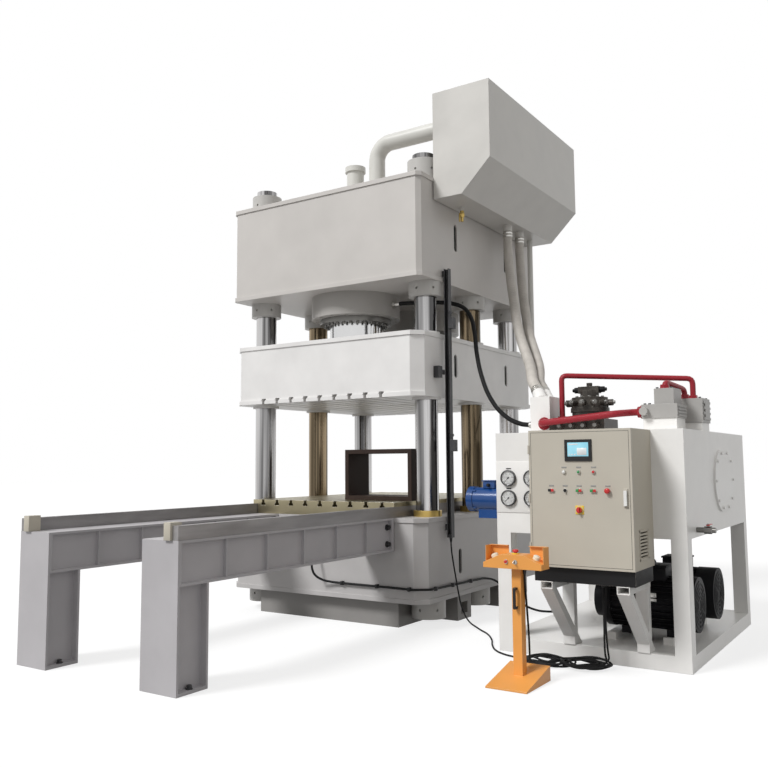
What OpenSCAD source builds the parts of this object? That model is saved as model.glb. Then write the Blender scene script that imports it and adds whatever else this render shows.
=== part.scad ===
// Six-column hydraulic press with a moving table, a power unit, a control
// cabinet and a two-hand pedestal. Millimetres, +Z up, -Y is the table side.

/* [Press frame] */
// Width of the crown and the bed over their cover plates
frame_w = 2580; // [2500:10:2700]
// Depth of the crown and the bed, front to back
frame_d = 2824; // [2780:4:2900]
// Height of the crown
crown_h = 1090; // [950:10:1250]
// Height of the crown's underside above the floor
crown_z = 3550; // [3480:10:3900]
// Height of the bed's top above the floor
bed_top = 1100; // [1080:5:1180]
// Height of the bed's underside above the floor
bed_z = 260; // [240:5:320]
// Wall thickness of the crown, slide and bed
wall_t = 50; // [40:2:70]
// Thickness of the cover plates
lip_t = 45; // [35:1:60]
// How far the cover plates stand out
lip_out = 12; // [8:1:20]
// Corner chamfer of the bed and the slide
corner_c = 110; // [60:5:140]

/* [Columns] */
// Diameter of a column
column_d = 240; // [200:5:250]
// Distance of a column's axis from the frame's side
column_side = 180; // [178:1:190]
// Distance of an outer column's axis from the frame's front or back
column_inset = 399; // [382:1:432]
// Diameter of a column nut
nut_d = 350; // [320:2:352]
// Height of the nuts under the crown
nut_h = 155; // [120:5:180]
// Height of the nuts above the crown
top_nut_h = 230; // [180:5:280]
// Height of the nuts under the bed
bed_nut_h = 180; // [140:5:200]
// How far a column stands out above its top nut
column_end = 70; // [30:5:100]

/* [Slide] */
// How far the slide stands back from the frame's sides
slide_inset = 20; // [0:1:40]
// Height of the slide
slide_h = 669; // [560:1:760]
// Height of the slide's underside above the floor, at rest
slide_z = 2326; // [2300:2:2400]
// Outer diameter of a guide bush
bush_d = 284; // [270:2:290]
// Flange diameter of a guide bush
bush_flange_d = 304; // [298:2:310]

/* [Main cylinders] */
// Distance of the cylinders from the middle, as a share of the frame's depth
cylinder_share = 0.2532; // [0.242:0.0002:0.262]
// Outer diameter of the cylinder's flanged lower end
cylinder_d = 1020; // [960:10:1080]
// How far the cylinder reaches below the crown
cylinder_drop = 255; // [200:5:270]
// Outer diameter of the barrel inside the crown
barrel_d = 880; // [840:10:920]
// Bore of the barrel
bore_d = 680; // [660:10:720]
// Diameter of the ram
ram_d = 600; // [560:10:620]
// Outer diameter of the gland ring
gland_d = 820; // [800:10:860]
// Thickness of the gland ring
gland_t = 60; // [40:5:70]

/* [Moving table] */
// Distance of the bolster from each side of the frame
bolster_inset = 345; // [340:5:370]
// Depth of the bolster
bolster_d = 2600; // [2400:20:2680]
// Height of the bolster's top above the floor
bolster_top = 1252; // [1245:1:1290]
// Number of T-slots in the bolster and the slide
slot_n = 9; // [5:2:9]
// Distance between T-slots
slot_pitch = 200; // [180:5:205]
// Height of a rail
rail_h = 108; // [90:2:112]
// Width of a rail
rail_w = 60; // [50:2:64]
// Length of the girders in front of the bed
girder_l = 2868; // [2700:10:3000]
// Height of a girder
girder_h = 330; // [280:5:380]
// Flange width of a girder and a leg
girder_w = 385; // [340:5:390]
// Depth of a leg
leg_d = 310; // [280:5:340]
// Number of panels between a girder's stiffeners
panel_n = 6; // [4:1:8]
// Flange and web thickness of a girder and a leg
flange_t = 20; // [14:1:26]
// Height of the spacer frame on the bolster
spacer_h = 548; // [440:2:558]
// Distance of the spacer frame from the bolster's right edge
spacer_edge = 25; // [20:5:180]

/* [Prefill tank] */
// Height of the prefill tank
tank_h = 1150; // [1000:10:1250]
// Width of the prefill tank at its top
tank_w = 660; // [560:10:720]
// Width of the prefill tank's flat bottom
tank_foot_w = 330; // [280:10:380]
// Length of the prefill tank, front to back
tank_l = 2400; // [2200:20:2500]
// Height of the prefill tank's underside above the floor
tank_z = 4403; // [4380:1:4440]
// Outer diameter of a prefill pipe
prefill_d = 186; // [150:2:220]

/* [Power unit] */
// Width of the power unit
unit_w = 1645; // [1600:5:1700]
// Depth of the power unit
unit_d = 2408; // [2300:4:2500]
// Height of the base frame
base_h = 125; // [100:5:140]
// Side of a post
post_w = 130; // [110:2:150]
// Height of the oil tank's underside
oil_z = 1030; // [1000:5:1060]
// Height of the oil tank
oil_h = 880; // [820:5:920]
// Diameter of a pressure gauge
gauge_d = 140; // [110:2:160]
// Diameter of an electric motor
motor_d = 460; // [400:5:500]

/* [Control cabinet] */
// Width of the cabinet
cab_w = 840; // [800:5:900]
// Depth of the cabinet with its door
cab_d = 512; // [460:4:560]
// Height of the cabinet
cab_h = 1085; // [1040:5:1130]
// Height of the cabinet's underside above the floor
cab_z = 820; // [800:5:850]
// Thickness of the door
door_t = 28; // [24:1:36]
// Diameter of a push button
button_d = 24; // [20:1:28]

/* [Pedestal] */
// Height of the pedestal's head above the floor
head_z = 854; // [800:2:900]
// Width of the head
head_w = 474; // [440:2:500]
// Side of the pedestal's post
stand_w = 74; // [60:2:90]

/* [Hidden] */
$fn = 64;
// Face gap between pieces that move past each other
gap = 0.3;
// Radial clearance of a running fit
run = 0.08;
// Radial clearance of a fixed fit
seat = 0.2;
// Small overrun for clean cuts
eps = 1;

column_x = frame_w / 2 - column_side;
column_y = frame_d / 2 - column_inset;
cylinder_y = frame_d * cylinder_share;
slide_w = frame_w - 2 * slide_inset;
bolster_w = frame_w - 2 * bolster_inset;
// Column places, as [x, y]
columns_xy = [for (x = [-column_x, column_x], y = [-column_y, 0, column_y]) [x, y]];
crown_top = crown_z + crown_h;
slide_top = slide_z + slide_h;
frame_front = -frame_d / 2;

// Bed base and table cylinder
base_half_w = column_x - nut_d / 2 - 15;
base_d = frame_d - 240;
// Feet beside the bed base and the fork pockets through them
bed_foot_l = 340;
bed_foot_w = 300;
bed_foot_y = column_y / 2 + 13.5;
fork_w = 140;
fork_h = 120;
fork_z = 60;
trough_w = 180;
trough_h = 170;
trough_z = bed_top - trough_h;
table_bore_z = trough_z + trough_h / 2;
table_cyl_d = 130;
table_rod_d = 64;
table_cyl_y0 = frame_front + 70;
table_cyl_l = frame_d - 130;
table_bore_d = table_cyl_d - 30;
table_head = 30;
table_piston_l = 40;
table_piston_y = table_cyl_y0 + table_cyl_l - table_head - table_piston_l - 4;

// Cylinders
cylinder_z = crown_z - cylinder_drop;
barrel_top = crown_top - lip_t - 30;
bore_z = cylinder_z + 60;
bore_top = barrel_top - 70;
piston_h = 180;
piston_top = bore_top - 130;
gland_z = cylinder_z - gland_t;
gland_bolt_d = 36;
gland_bolt_h = 24;
gland_bolt_n = 28;
bush_flange_t = 22;
flange_bolt_d = 44;

// Tall slots in the side walls
side_slot_y = 630;
side_slot_w = 70;

// T-slots
slot_w = 36;
slot_neck = 34;
slot_t_w = 60;
slot_t_h = 26;

// Rails, girders and bolster
rail_x = bolster_w / 2 - rail_w;
rail_top = bed_top + rail_h;
rail_front = frame_front - girder_l;
bolster_y = frame_front + 12 + bolster_d / 2;
rail_back = bolster_d / 2 + bolster_y;
leg_plate = 20;
girder_x = (bolster_w / 2 + 5) - girder_w / 2;
girder_z = bed_top - girder_h;
foot_t = 25;
web_t = 12;
web_back = 34;
leg_back = 64;
rib_t = 14;
end_plate = 40;
foot_hole_d = 26;
stop_w = 70;
stop_l = 110;
stop_h = 130;
spacer_x = 60;
spacer_w = bolster_w / 2 - spacer_x - spacer_edge;
spacer_y = frame_front + 392;
spacer_d = 400;
spacer_wall = 45;

// Position bar beside the slide
bar_x = frame_w / 2 + 14;
bar_y = -column_y + 60;
bar_w = 56;
bar_z = bed_top - 185;
bar_top = crown_z + 140;

// Prefill tank and its pipes
tank_x = frame_w / 2;
tank_y0 = -1120;
tank_wall = 8;
prefill_x = 310;
prefill_z = tank_z + tank_h - 225;
prefill_bend = 190;
prefill_flange_d = 280;
prefill_flange_t = 36;
cap_d = 200;
cap_h = 420;
cap_lid_d = 240;
cap_lid_t = 60;
drop_pipe_d = 64;
drop_x = frame_w / 2 + 157;
boss_d = 60;
boss_h = 40;
stub_d = 110;
stub_l = 70;
stub_x = tank_x + 215;
stub_ys = [230, 560];

// Power unit
unit_x0 = 2228;
unit_y0 = -1688;
unit_x1 = unit_x0 + unit_w;
unit_y1 = unit_y0 + unit_d;
oil_top = oil_z + oil_h;
gauge_t = 32;
gauge_recess = 10;
gauge_x = unit_x0 + 124;
gauge_z = oil_z + 480;
gauge_dx = 220;
gauge_dz = 176;
// Gauge centres, as [x, z]
gauge_at = [for (i = [0, 1], k = [0, 1]) [gauge_x + i * gauge_dx, gauge_z - k * gauge_dz]];
riser_x = unit_x0 + 290;
riser_y = unit_y0 + 493;
riser_w = 190;
riser_d = 300;
riser_h = 340;
oil_wall = 10;
stand_in = 10;
nozzle_l = 150;
stack_x = unit_x0 + 670;
stack_y = unit_y0 + 500;
// Valve blocks on the tank, as [x, y, width, depth, stand height, block height]
front_block = [unit_x0 + 1222, unit_y0 + 338, 300, 300, 105, 120];
rear_block = [unit_x0 + 1422, unit_y0 + 758, 210, 280, 75, 215];
head_block = [105, 20, 165, 250, 135];
pipe_d = 50;
fin_out = 10;
front_top = front_block[4] + front_block[5] + head_block[4] - eps;
stack_d = 320;
stack_shift = 40;
motor_axis_z = base_h + motor_d / 2 + 85;
motor_x1 = unit_x1 - 70;
motor_l = 860;
motor_ys = [unit_y0 + unit_d * 0.25, unit_y0 + unit_d * 0.56];
manhole_w = 780;
manhole_h = 560;
manhole_t = 14;
manhole_y = unit_y0 + unit_d * 0.585;
drain_y = unit_y0 + 310;
drain_z = oil_z + 60;

// Control cabinet
cab_x0 = 2770;
cab_y1 = unit_y0;
cab_y0 = cab_y1 - cab_d;
plinth_h = 120;
plinth_inset = 12;
bracket_w = 100;
bracket_h = 60;
bracket_xs = [cab_x0 + 60, cab_x0 + cab_w - 160];
strut_h = 90;
door_seal = 0.3;
panel_x = cab_x0 + cab_w / 2;
row_z = cab_z + 605;
lamp_z = cab_z + 750;
row_dx = 115;
screen_w = 220;
screen_h = 170;
screen_z = cab_z + 920;
bezel_d = button_d + 8;
bezel_h = 6;
pocket = 14;
switch_z = cab_z + 454;
handle_x = cab_x0 + cab_w - 53;
handle_z = cab_z + 553;
hinge_zs = [cab_z + 120, cab_z + cab_h / 2 - 35, cab_z + cab_h - 190];

// Places of the controls on the door, as [x, z]
row_at = [for (i = [-2 : 2]) [panel_x + i * row_dx, row_z]];
lamp_at = [for (i = [-1 : 1]) [panel_x + i * row_dx * 1.05, lamp_z]];
switch_at = [panel_x, switch_z];

// Pedestal
stand_x = 2842;
stand_y = -2650;
stand_base_h = 110;
stand_base_w = 330;
stand_base_d = 440;
stand_toe_h = 12;
head_d = 150;
head_side_h = 40;
head_h = 105;
head_flat = 180;
palm_d = 56;
palm_at = 0.52;
hood_t = 4;
hood_w = 150;
hood_top = head_h + 58;
hood_back = head_d / 2 - 6;
hood_reach = 100;
hood_lip = 26;
// Red button and key on the head's front, measured from its middle
red_out = 45;
key_out = 30;
front_z = head_z + head_h / 2;
// Grab handle on the post
grab_w = 20;
grab_out = 46;
grab_t = 12;
grab_l = 156;
grab_bar = 16;
grab_z = head_z - 300;
slope_run = (head_w - head_flat) / 2;
slope_rise = head_h - head_side_h;
slope_deg = atan2(slope_rise, slope_run);

// Routes of hoses and cables, as points chosen by hand
front_return_route = [[1505, 230, 4331.7], [1505, 230, 4240], [1505, 230, 4150], [1540, 190, 3850],
    [1640, 60, 3480], [1826, -230, 3060], [2129, -660, 2642], [2293, -980, 2448], [2368, -1080, 2365],
    [2428, -1160, 2298.6]];
rear_return_route = [[1505, 560, 4331.7], [1505, 560, 4240], [1505, 558, 4150], [1545, 500, 3850],
    [1650, 330, 3480], [1850, -10, 3060], [2150, -480, 2650], [2293, -810, 2448], [2368, -910, 2365],
    [2428, -990, 2298.6]];
pressure_route = [[511, -715, 3430], [580, -715, 3430], [650, -712, 3430], [800, -670, 3428],
    [1000, -600, 3420], [1180, -550, 3395], [1320, -530, 3330], [1410, -545, 3210], [1465, -580, 3050],
    [1520, -640, 2800], [1620, -730, 2540], [1800, -880, 2280], [2020, -1020, 2100], [2220, -1120, 2020],
    [2310, -1160, 2000], [2370, -1160, 2000], [2422.7, -1160, 2000]];
rear_hose_route = [[drop_x, 1000, 3099.7], [drop_x, 1000, 3040], [drop_x, 1000, 2980], [1460, 970, 2800],
    [1520, 860, 2540], [1640, 620, 2320], [1880, 150, 2120], [2150, -350, 2030], [2330, -640, 2005],
    [2440, -820, 2000], [2470, -920, 2000], [2470, -985, 2000], [2470, -1044.7, 2000]];
table_route = [[-10, -1400.3, 680], [-10, -1440, 680], [-10, -1480, 678], [-5, -1525, 630], [5, -1540, 560],
    [30, -1520, 490], [90, -1475, 440], [180, -1442, 420], [300, -1428, 414], [400, -1426, 413],
    [700, -1426, 412], [1000, -1426, 410], [1160, -1424, 408], [1205, -1405, 407], [1240, -1366, 406],
    [1284, -1322, 405], [1304, -1270, 404], [1304, -1000, 398], [1304, -650, 392], [1304, -300, 386],
    [1312, -100, 376], [1355, 60, 330], [1450, 180, 200], [1600, 236, 70], [1740, 246, 20],
    [1880, 244, 16], [2000, 240, 32], [2080, 240, 56], [2130, 240, 60], [2180, 240, 60],
    [2227.7, 240, 60]];
sensor_route = [[1332, -925, 884.7], [1332, -925, 840], [1333, -924, 790], [1345, -915, 660],
    [1362, -895, 500], [1385, -880, 330], [1430, -890, 180], [1520, -930, 70], [1660, -1000, 16],
    [1850, -1170, 9.5], [2000, -1380, 9.5], [2110, -1590, 9.5], [2230, -1760, 9.5], [2360, -1855, 9.5],
    [2460, -1888, 9.5], [2500, -1890, 9.5], [2540, -1890, 9.5], [2574.7, -1890, 9.5]];
sensor_rise = [[3262, -1930, 46.3], [3262, -1930, 110], [3263, -1932, 180], [3266, -1938, 340],
    [3264, -1934, 520], [3262, -1930, 600], [3262, -1930, 650], [3262, -1930, 699.7]];
pedestal_route = [[2890, -2600, 853.7], [2890, -2600, 810], [2890, -2599, 760], [2884, -2560, 560],
    [2860, -2480, 330], [2815, -2370, 120], [2778, -2280, 22], [2762, -2210, 9.5], [2760, -2165, 9.5],
    [2760, -2120, 9.5], [2760, -2075.3, 9.5]];
cabinet_route = [[3262, -1860, 46.3], [3262, -1860, 110], [3261, -1862, 180], [3256, -1868, 340],
    [3258, -1864, 520], [3262, -1860, 600], [3262, -1860, 650], [3262, -1860, 699.7]];
return_hose_d = 108;
pressure_hose_d = 46;
table_hose_d = 24;
cable_d = 16;
// Two heaps of cable turns on the floor
coil_xs = [2760, 3120];
coil_y = -1890;
coil_r = 150;
coil_w = 70;
coil_h = 46;

// Shapes used more than once

// A rectangle with its four corners cut at 45 degrees
module cut_rect(w, d, c) {
    polygon([[-w / 2 + c, -d / 2], [w / 2 - c, -d / 2], [w / 2, -d / 2 + c], [w / 2, d / 2 - c],
        [w / 2 - c, d / 2], [-w / 2 + c, d / 2], [-w / 2, d / 2 - c], [-w / 2, -d / 2 + c]]);
}

// A slot with round ends, long along its second axis
module obround(w, l) {
    square([w, l - w], center = true);
    for (side = [-1, 1]) translate([0, side * (l - w) / 2]) circle(d = w);
}

// A box frame between two cover plates
module plated_box(w, d, z, h, c) {
    translate([0, 0, z]) linear_extrude(lip_t) cut_rect(w, d, c);
    translate([0, 0, z + lip_t]) linear_extrude(h - 2 * lip_t)
        cut_rect(w - 2 * lip_out, d - 2 * lip_out, c);
    translate([0, 0, z + h - lip_t]) linear_extrude(lip_t) cut_rect(w, d, c);
}

// Round shapes at every column
module at_columns(z, h, d) {
    for (p = columns_xy) translate([p[0], p[1], z]) cylinder(h = h, d = d);
}

// Tall slots through both side walls of a box frame
module side_slots(w, z, l) {
    for (side = [-1, 1], y = [-1, 1]) translate([side * w / 2, y * side_slot_y, z]) rotate([0, 90, 0])
        linear_extrude(4 * wall_t, center = true) rotate(90) obround(side_slot_w, l);
}

// T-slots along Y, with the slot's mouth at height 0 facing up
module t_slots(l) {
    for (i = [0 : slot_n - 1]) translate([(i - (slot_n - 1) / 2) * slot_pitch, 0, 0]) rotate([90, 0, 0])
        linear_extrude(l, center = true) polygon([[-slot_w / 2, eps], [slot_w / 2, eps],
            [slot_w / 2, -slot_neck], [slot_t_w / 2, -slot_neck], [slot_t_w / 2, -slot_neck - slot_t_h],
            [-slot_t_w / 2, -slot_neck - slot_t_h], [-slot_t_w / 2, -slot_neck], [-slot_w / 2, -slot_neck]]);
}

// A bolt circle of hexagon heads
module bolt_circle(n, r, d, h) {
    for (i = [0 : n - 1]) rotate(i * 360 / n) translate([r, 0, 0]) cylinder(h = h, d = d, $fn = 6);
}

// A nut with radial holes for a bar
module pin_nut(h) {
    difference() {
        cylinder(h = h, d = nut_d);
        translate([0, 0, -eps]) cylinder(h = h + 2 * eps, d = column_d + 2 * seat);
        for (i = [0 : 5]) rotate(i * 60 + 30) translate([nut_d / 2, 0, h / 2]) rotate([0, 90, 0])
            cylinder(h = 50, d = 26, center = true);
    }
}

// Tube swept along a list of points
function unit(v) = v / norm(v);
function beside(n, t) = unit(n - (n * t) * t);
function curve_at(p, i, u) = let (
    a = p[max(i - 1, 0)], b = p[i], c = p[i + 1], d = p[min(i + 2, len(p) - 1)])
    0.5 * (2 * b + (c - a) * u + (2 * a - 5 * b + 4 * c - d) * u * u
        + (3 * b - a - 3 * c + d) * u * u * u);
function smooth(p, n) = [for (i = [0 : len(p) - 2], k = [0 : n - 1]) curve_at(p, i, k / n),
    p[len(p) - 1]];
function tangents(p) = [for (i = [0 : len(p) - 1])
    unit(p[min(i + 1, len(p) - 1)] - p[max(i - 1, 0)])];
function normals(t) = [for (i = 0, n = beside([1, 0.3, 0.2], t[0]); i < len(t);
    i = i + 1, n = i < len(t) ? beside(n, t[i]) : n) n];
module tube(route, d, steps, sides) {
    p = smooth(route, steps);
    t = tangents(p);
    n = normals(t);
    rings = len(p);
    spots = [for (i = [0 : rings - 1], j = [0 : sides - 1]) let (a = j * 360 / sides)
        p[i] + d / 2 * (cos(a) * n[i] + sin(a) * cross(t[i], n[i]))];
    walls = [for (i = [0 : rings - 2], j = [0 : sides - 1]) let (k = (j + 1) % sides)
        [i * sides + j, (i + 1) * sides + j, (i + 1) * sides + k, i * sides + k]];
    first = [for (j = [0 : sides - 1]) j];
    last = [for (j = [sides - 1 : -1 : 0]) (rings - 1) * sides + j];
    polyhedron(points = spots, faces = concat([first], walls, [last]));
}

// Press frame

module crown() color("#d3d1cd") difference() {
    plated_box(frame_w, frame_d, crown_z, crown_h, lip_t);
    difference() {
        translate([0, 0, crown_z + wall_t]) linear_extrude(crown_h - 2 * wall_t)
            square([frame_w - 2 * (wall_t + lip_out), frame_d - 2 * (wall_t + lip_out)], center = true);
        at_columns(crown_z, crown_h, column_d + 80);
    }
    at_columns(crown_z - eps, crown_h + 2 * eps, column_d + 2 * seat);
    for (y = [-cylinder_y, cylinder_y]) {
        translate([0, y, crown_z - eps]) cylinder(h = wall_t + 2 * eps, d = barrel_d + 2 * seat);
        translate([0, y, crown_top - wall_t - eps]) cylinder(h = wall_t + 2 * eps, d = cap_d + 2 * seat);
        translate([prefill_x, y, crown_top - wall_t - eps])
            cylinder(h = wall_t + 2 * eps, d = prefill_d + 2 * seat);
    }
    side_slots(frame_w, crown_z + crown_h * 0.5, 300);
}

module bed() color("#c9c8c5") difference() {
    plated_box(frame_w, frame_d, bed_z, bed_top - bed_z, corner_c);
    difference() {
        translate([0, 0, bed_z + wall_t]) linear_extrude(trough_z - bed_z - 2 * wall_t)
            cut_rect(frame_w - 2 * (wall_t + lip_out), frame_d - 2 * (wall_t + lip_out), corner_c);
        at_columns(bed_z, bed_top - bed_z, column_d + 80);
    }
    at_columns(bed_z - eps, bed_top - bed_z + 2 * eps, column_d + 2 * seat);
    translate([-trough_w / 2, frame_front - eps, trough_z])
        cube([trough_w, frame_d - 40 + eps, trough_h + eps]);
    side_slots(frame_w, (bed_z + trough_z) / 2 + 20, 260);
}

module bed_base() color("#bdbcb9") {
    difference() {
        translate([-base_half_w, -base_d / 2, 0]) cube([2 * base_half_w, base_d, bed_z]);
        translate([-base_half_w + wall_t, -base_d / 2 + wall_t, -eps])
            cube([2 * (base_half_w - wall_t), base_d - 2 * wall_t, bed_z - wall_t + eps]);
    }
    for (side = [-1, 1], y = [-1, 1]) difference() {
        translate([side * (base_half_w + bed_foot_l / 2) - bed_foot_l / 2,
            y * bed_foot_y - bed_foot_w / 2, 0]) cube([bed_foot_l, bed_foot_w, bed_z]);
        translate([side * (base_half_w + bed_foot_l / 2) - bed_foot_l / 2 - eps,
            y * bed_foot_y - fork_w / 2, fork_z]) cube([bed_foot_l + 2 * eps, fork_w, fork_h]);
    }
}

module columns() color("#c8cacb")
    at_columns(bed_z - bed_nut_h, crown_top + top_nut_h + column_end - bed_z + bed_nut_h, column_d);

module column_nuts() color("#b9b9b7") {
    for (p = columns_xy) {
        translate([p[0], p[1], crown_top]) pin_nut(top_nut_h);
        translate([p[0], p[1], crown_z - nut_h]) pin_nut(nut_h);
        translate([p[0], p[1], bed_z - bed_nut_h]) pin_nut(bed_nut_h);
    }
}

module column_rings() color("#b99a45") difference() {
    at_columns(bed_top, 62, column_d + 56);
    at_columns(bed_top - eps, 64, column_d + 2 * seat);
}

// Main hydraulics

module main_cylinders() color("#c2c1be") for (y = [-cylinder_y, cylinder_y])
    translate([0, y, 0]) difference() {
        union() {
            translate([0, 0, cylinder_z]) cylinder(h = cylinder_drop, d = cylinder_d);
            translate([0, 0, crown_z]) cylinder(h = barrel_top - crown_z, d = barrel_d);
        }
        translate([0, 0, bore_z]) cylinder(h = bore_top - bore_z, d = bore_d);
        translate([0, 0, cylinder_z - eps]) cylinder(h = bore_z - cylinder_z + 2 * eps, d = ram_d + 10);
        for (i = [0 : 15]) rotate(i * 22.5) translate([(cylinder_d + gland_d) / 4, 0, cylinder_z - eps])
            cylinder(h = 21, d = flange_bolt_d);
    }

module gland_rings() color("#8f8f8d") for (y = [-cylinder_y, cylinder_y]) translate([0, y, 0]) {
    difference() {
        translate([0, 0, gland_z]) cylinder(h = gland_t, d = gland_d);
        translate([0, 0, gland_z - eps]) cylinder(h = gland_t + 2 * eps, d = ram_d + 2 * run);
    }
    translate([0, 0, gland_z - gland_bolt_h])
        bolt_circle(gland_bolt_n, (gland_d + ram_d) / 4, gland_bolt_d, gland_bolt_h + eps);
}

module rams() color("#d7d9da") for (y = [-cylinder_y, cylinder_y]) translate([0, y, 0]) {
    translate([0, 0, slide_top]) cylinder(h = piston_top - piston_h - slide_top, d = ram_d);
    translate([0, 0, piston_top - piston_h]) cylinder(h = piston_h, d = bore_d - 2 * run);
}

module prefill_tank() color("#cfcecb") {
    translate([tank_x, tank_y0 + tank_l, tank_z]) rotate([90, 0, 0]) difference() {
        linear_extrude(tank_l) tank_outline(0);
        translate([0, 0, tank_wall]) linear_extrude(tank_l - 2 * tank_wall) tank_outline(tank_wall);
        for (y = [-cylinder_y, cylinder_y]) translate([-eps, prefill_z - tank_z, tank_y0 + tank_l - y])
            rotate([0, 90, 0]) cylinder(h = tank_wall + 2 * eps, d = prefill_d + 2 * seat);
    }
    for (y = stub_ys) translate([stub_x, y, tank_z - stub_l]) cylinder(h = stub_l, d = stub_d);
    translate([tank_x + 110, tank_y0 + 420, tank_z - boss_h]) cylinder(h = boss_h, d = boss_d, $fn = 6);
}

// Section of the prefill tank, moved in by its wall
module tank_outline(t) {
    drop = tank_w - tank_foot_w;
    polygon([[t, t], [tank_foot_w - t * 0.4, t], [tank_w - t, drop + t * 0.4], [tank_w - t, tank_h - t],
        [t, tank_h - t]]);
}

module prefill_pipes() color("#d6d5d2") for (y = [-cylinder_y, cylinder_y]) {
    translate([prefill_x, y, crown_top - wall_t])
        cylinder(h = prefill_z - prefill_bend - crown_top + wall_t, d = prefill_d);
    translate([prefill_x + prefill_bend, y, prefill_z - prefill_bend]) rotate([90, 0, 0])
        rotate([0, 0, 90]) rotate_extrude(angle = 90) translate([prefill_bend, 0]) circle(d = prefill_d);
    translate([prefill_x + prefill_bend, y, prefill_z]) rotate([0, 90, 0])
        cylinder(h = tank_x + tank_wall - prefill_x - prefill_bend, d = prefill_d);
    translate([prefill_x, y, crown_top]) cylinder(h = prefill_flange_t, d = prefill_flange_d);
    translate([0, y, crown_top - wall_t]) cylinder(h = cap_h + wall_t, d = cap_d);
    translate([0, y, crown_top + cap_h]) cylinder(h = cap_lid_t, d = cap_lid_d);
    if (y > 0) translate([rear_hose_route[0][0], rear_hose_route[0][1], rear_hose_route[0][2]])
        cylinder(h = tank_z - rear_hose_route[0][2], d = drop_pipe_d);
}

// Slide

module slide() color("#e9e8e4") difference() {
    plated_box(slide_w, frame_d, slide_z, slide_h, corner_c);
    difference() {
        translate([0, 0, slide_z + 3 * wall_t]) linear_extrude(slide_h - 5 * wall_t)
            cut_rect(slide_w - 2 * (wall_t + lip_out), frame_d - 2 * (wall_t + lip_out), corner_c);
        at_columns(slide_z, slide_h, bush_d + 40);
        for (y = [-cylinder_y, cylinder_y]) translate([0, y, slide_z]) cylinder(h = slide_h, d = ram_d + 60);
    }
    at_columns(slide_z - eps, slide_h + 2 * eps, bush_d + 2 * seat);
    translate([0, 0, slide_z]) rotate([180, 0, 0]) t_slots(frame_d + 2 * eps);
    side_slots(slide_w, slide_z + slide_h * 0.54, 250);
}

module slide_bushes() color("#b08d3c") difference() {
    union() {
        at_columns(slide_z, slide_h, bush_d);
        at_columns(slide_top, bush_flange_t, bush_flange_d);
        at_columns(slide_z - bush_flange_t, bush_flange_t, bush_flange_d);
    }
    at_columns(slide_z - bush_flange_t - eps, slide_h + 2 * (bush_flange_t + eps), column_d + 2 * run);
}

module striker() color("#4a4a4c") {
    translate([slide_w / 2 - lip_out, bar_y - 160, slide_z + 200]) cube([bar_x - slide_w / 2 + 30, 70, 120]);
    translate([bar_x - 2, bar_y - 90 - gap, slide_z + 235]) cube([18, 60, 50]);
}

module scale_bar() color("#3a3a3c") {
    translate([bar_x, bar_y, bar_z]) difference() {
        cube([bar_w, bar_w, bar_top - bar_z]);
        translate([8, -eps, -eps]) cube([bar_w - 16, bar_w - 7, bar_top - bar_z + 2 * eps]);
    }
    translate([bar_x, bar_y, bar_z - 30]) cube([bar_w, bar_w, 30]);
    for (z = [bar_z + 45, crown_z + 60]) translate([frame_w / 2 - lip_out, bar_y + 6, z])
        cube([bar_x - frame_w / 2 + lip_out, bar_w - 12, 60]);
    for (z = [slide_z - 560, slide_z + 720]) translate([bar_x + bar_w, bar_y - 20, z]) {
        cube([50, bar_w + 20, 120]);
        translate([25, 10, 120]) cylinder(h = 46, d = 14);
        translate([25, 18, 166]) rotate([90, 0, 0]) cylinder(h = 16, d = 36);
    }
}

// Moving table

module bolster() color("#8d8a78") translate([0, bolster_y, 0]) difference() {
    union() {
        translate([-bolster_w / 2, -bolster_d / 2, rail_top + gap])
            cube([bolster_w, bolster_d, bolster_top - rail_top - gap]);
        translate([-rail_x + 4, -bolster_d / 2, bed_top + 2])
            cube([2 * (rail_x - 4), bolster_d, bolster_top - bed_top - 2]);
    }
    translate([0, 0, bolster_top]) t_slots(bolster_d + 2 * eps);
}

module spacer_frame() color("#5b4638") translate([spacer_x, spacer_y, bolster_top]) difference() {
    cube([spacer_w, spacer_d, spacer_h]);
    translate([spacer_wall, -eps, spacer_wall])
        cube([spacer_w - 2 * spacer_wall, spacer_d + 2 * eps, spacer_h - 2 * spacer_wall]);
}

module table_cylinder() color("#6d6f72") {
    translate([0, table_cyl_y0, table_bore_z]) rotate([-90, 0, 0]) difference() {
        cylinder(h = table_cyl_l, d = table_cyl_d);
        translate([0, 0, table_head]) cylinder(h = table_cyl_l - 2 * table_head, d = table_bore_d);
        translate([0, 0, -eps]) cylinder(h = table_head + 2 * eps, d = table_rod_d + 2 * run);
    }
    for (y = [0.1, 0.9]) translate([-trough_w / 2 + 10, table_cyl_y0 + y * (table_cyl_l - 120), trough_z])
        difference() {
            cube([trough_w - 20, 50, trough_h / 2 + table_cyl_d / 2 - 30]);
            translate([trough_w / 2 - 10, -eps, trough_h / 2]) rotate([-90, 0, 0])
                cylinder(h = 52, d = table_cyl_d + 2 * seat);
        }
}

module table_rod() color("#cfd1d2") {
    translate([0, frame_front + 14, table_bore_z]) rotate([-90, 0, 0])
        cylinder(h = table_piston_y - frame_front - 14, d = table_rod_d);
    translate([0, table_piston_y, table_bore_z]) rotate([-90, 0, 0])
        cylinder(h = table_piston_l, d = table_bore_d - 2 * run);
    translate([-60, frame_front + 14, table_bore_z - 50])
        cube([120, 40, bed_top + 2 - table_bore_z + 50]);
}

module rails() color("#4c4a48") for (side = [-1, 1]) {
    translate([side * (rail_x + rail_w / 2) - rail_w / 2, rail_front, bed_top])
        cube([rail_w, rail_back - rail_front, rail_h]);
    translate([side * (rail_x - stop_w / 2) - stop_w / 2, rail_front - 20, bed_top])
        cube([stop_w, stop_l, stop_h]);
}

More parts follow.
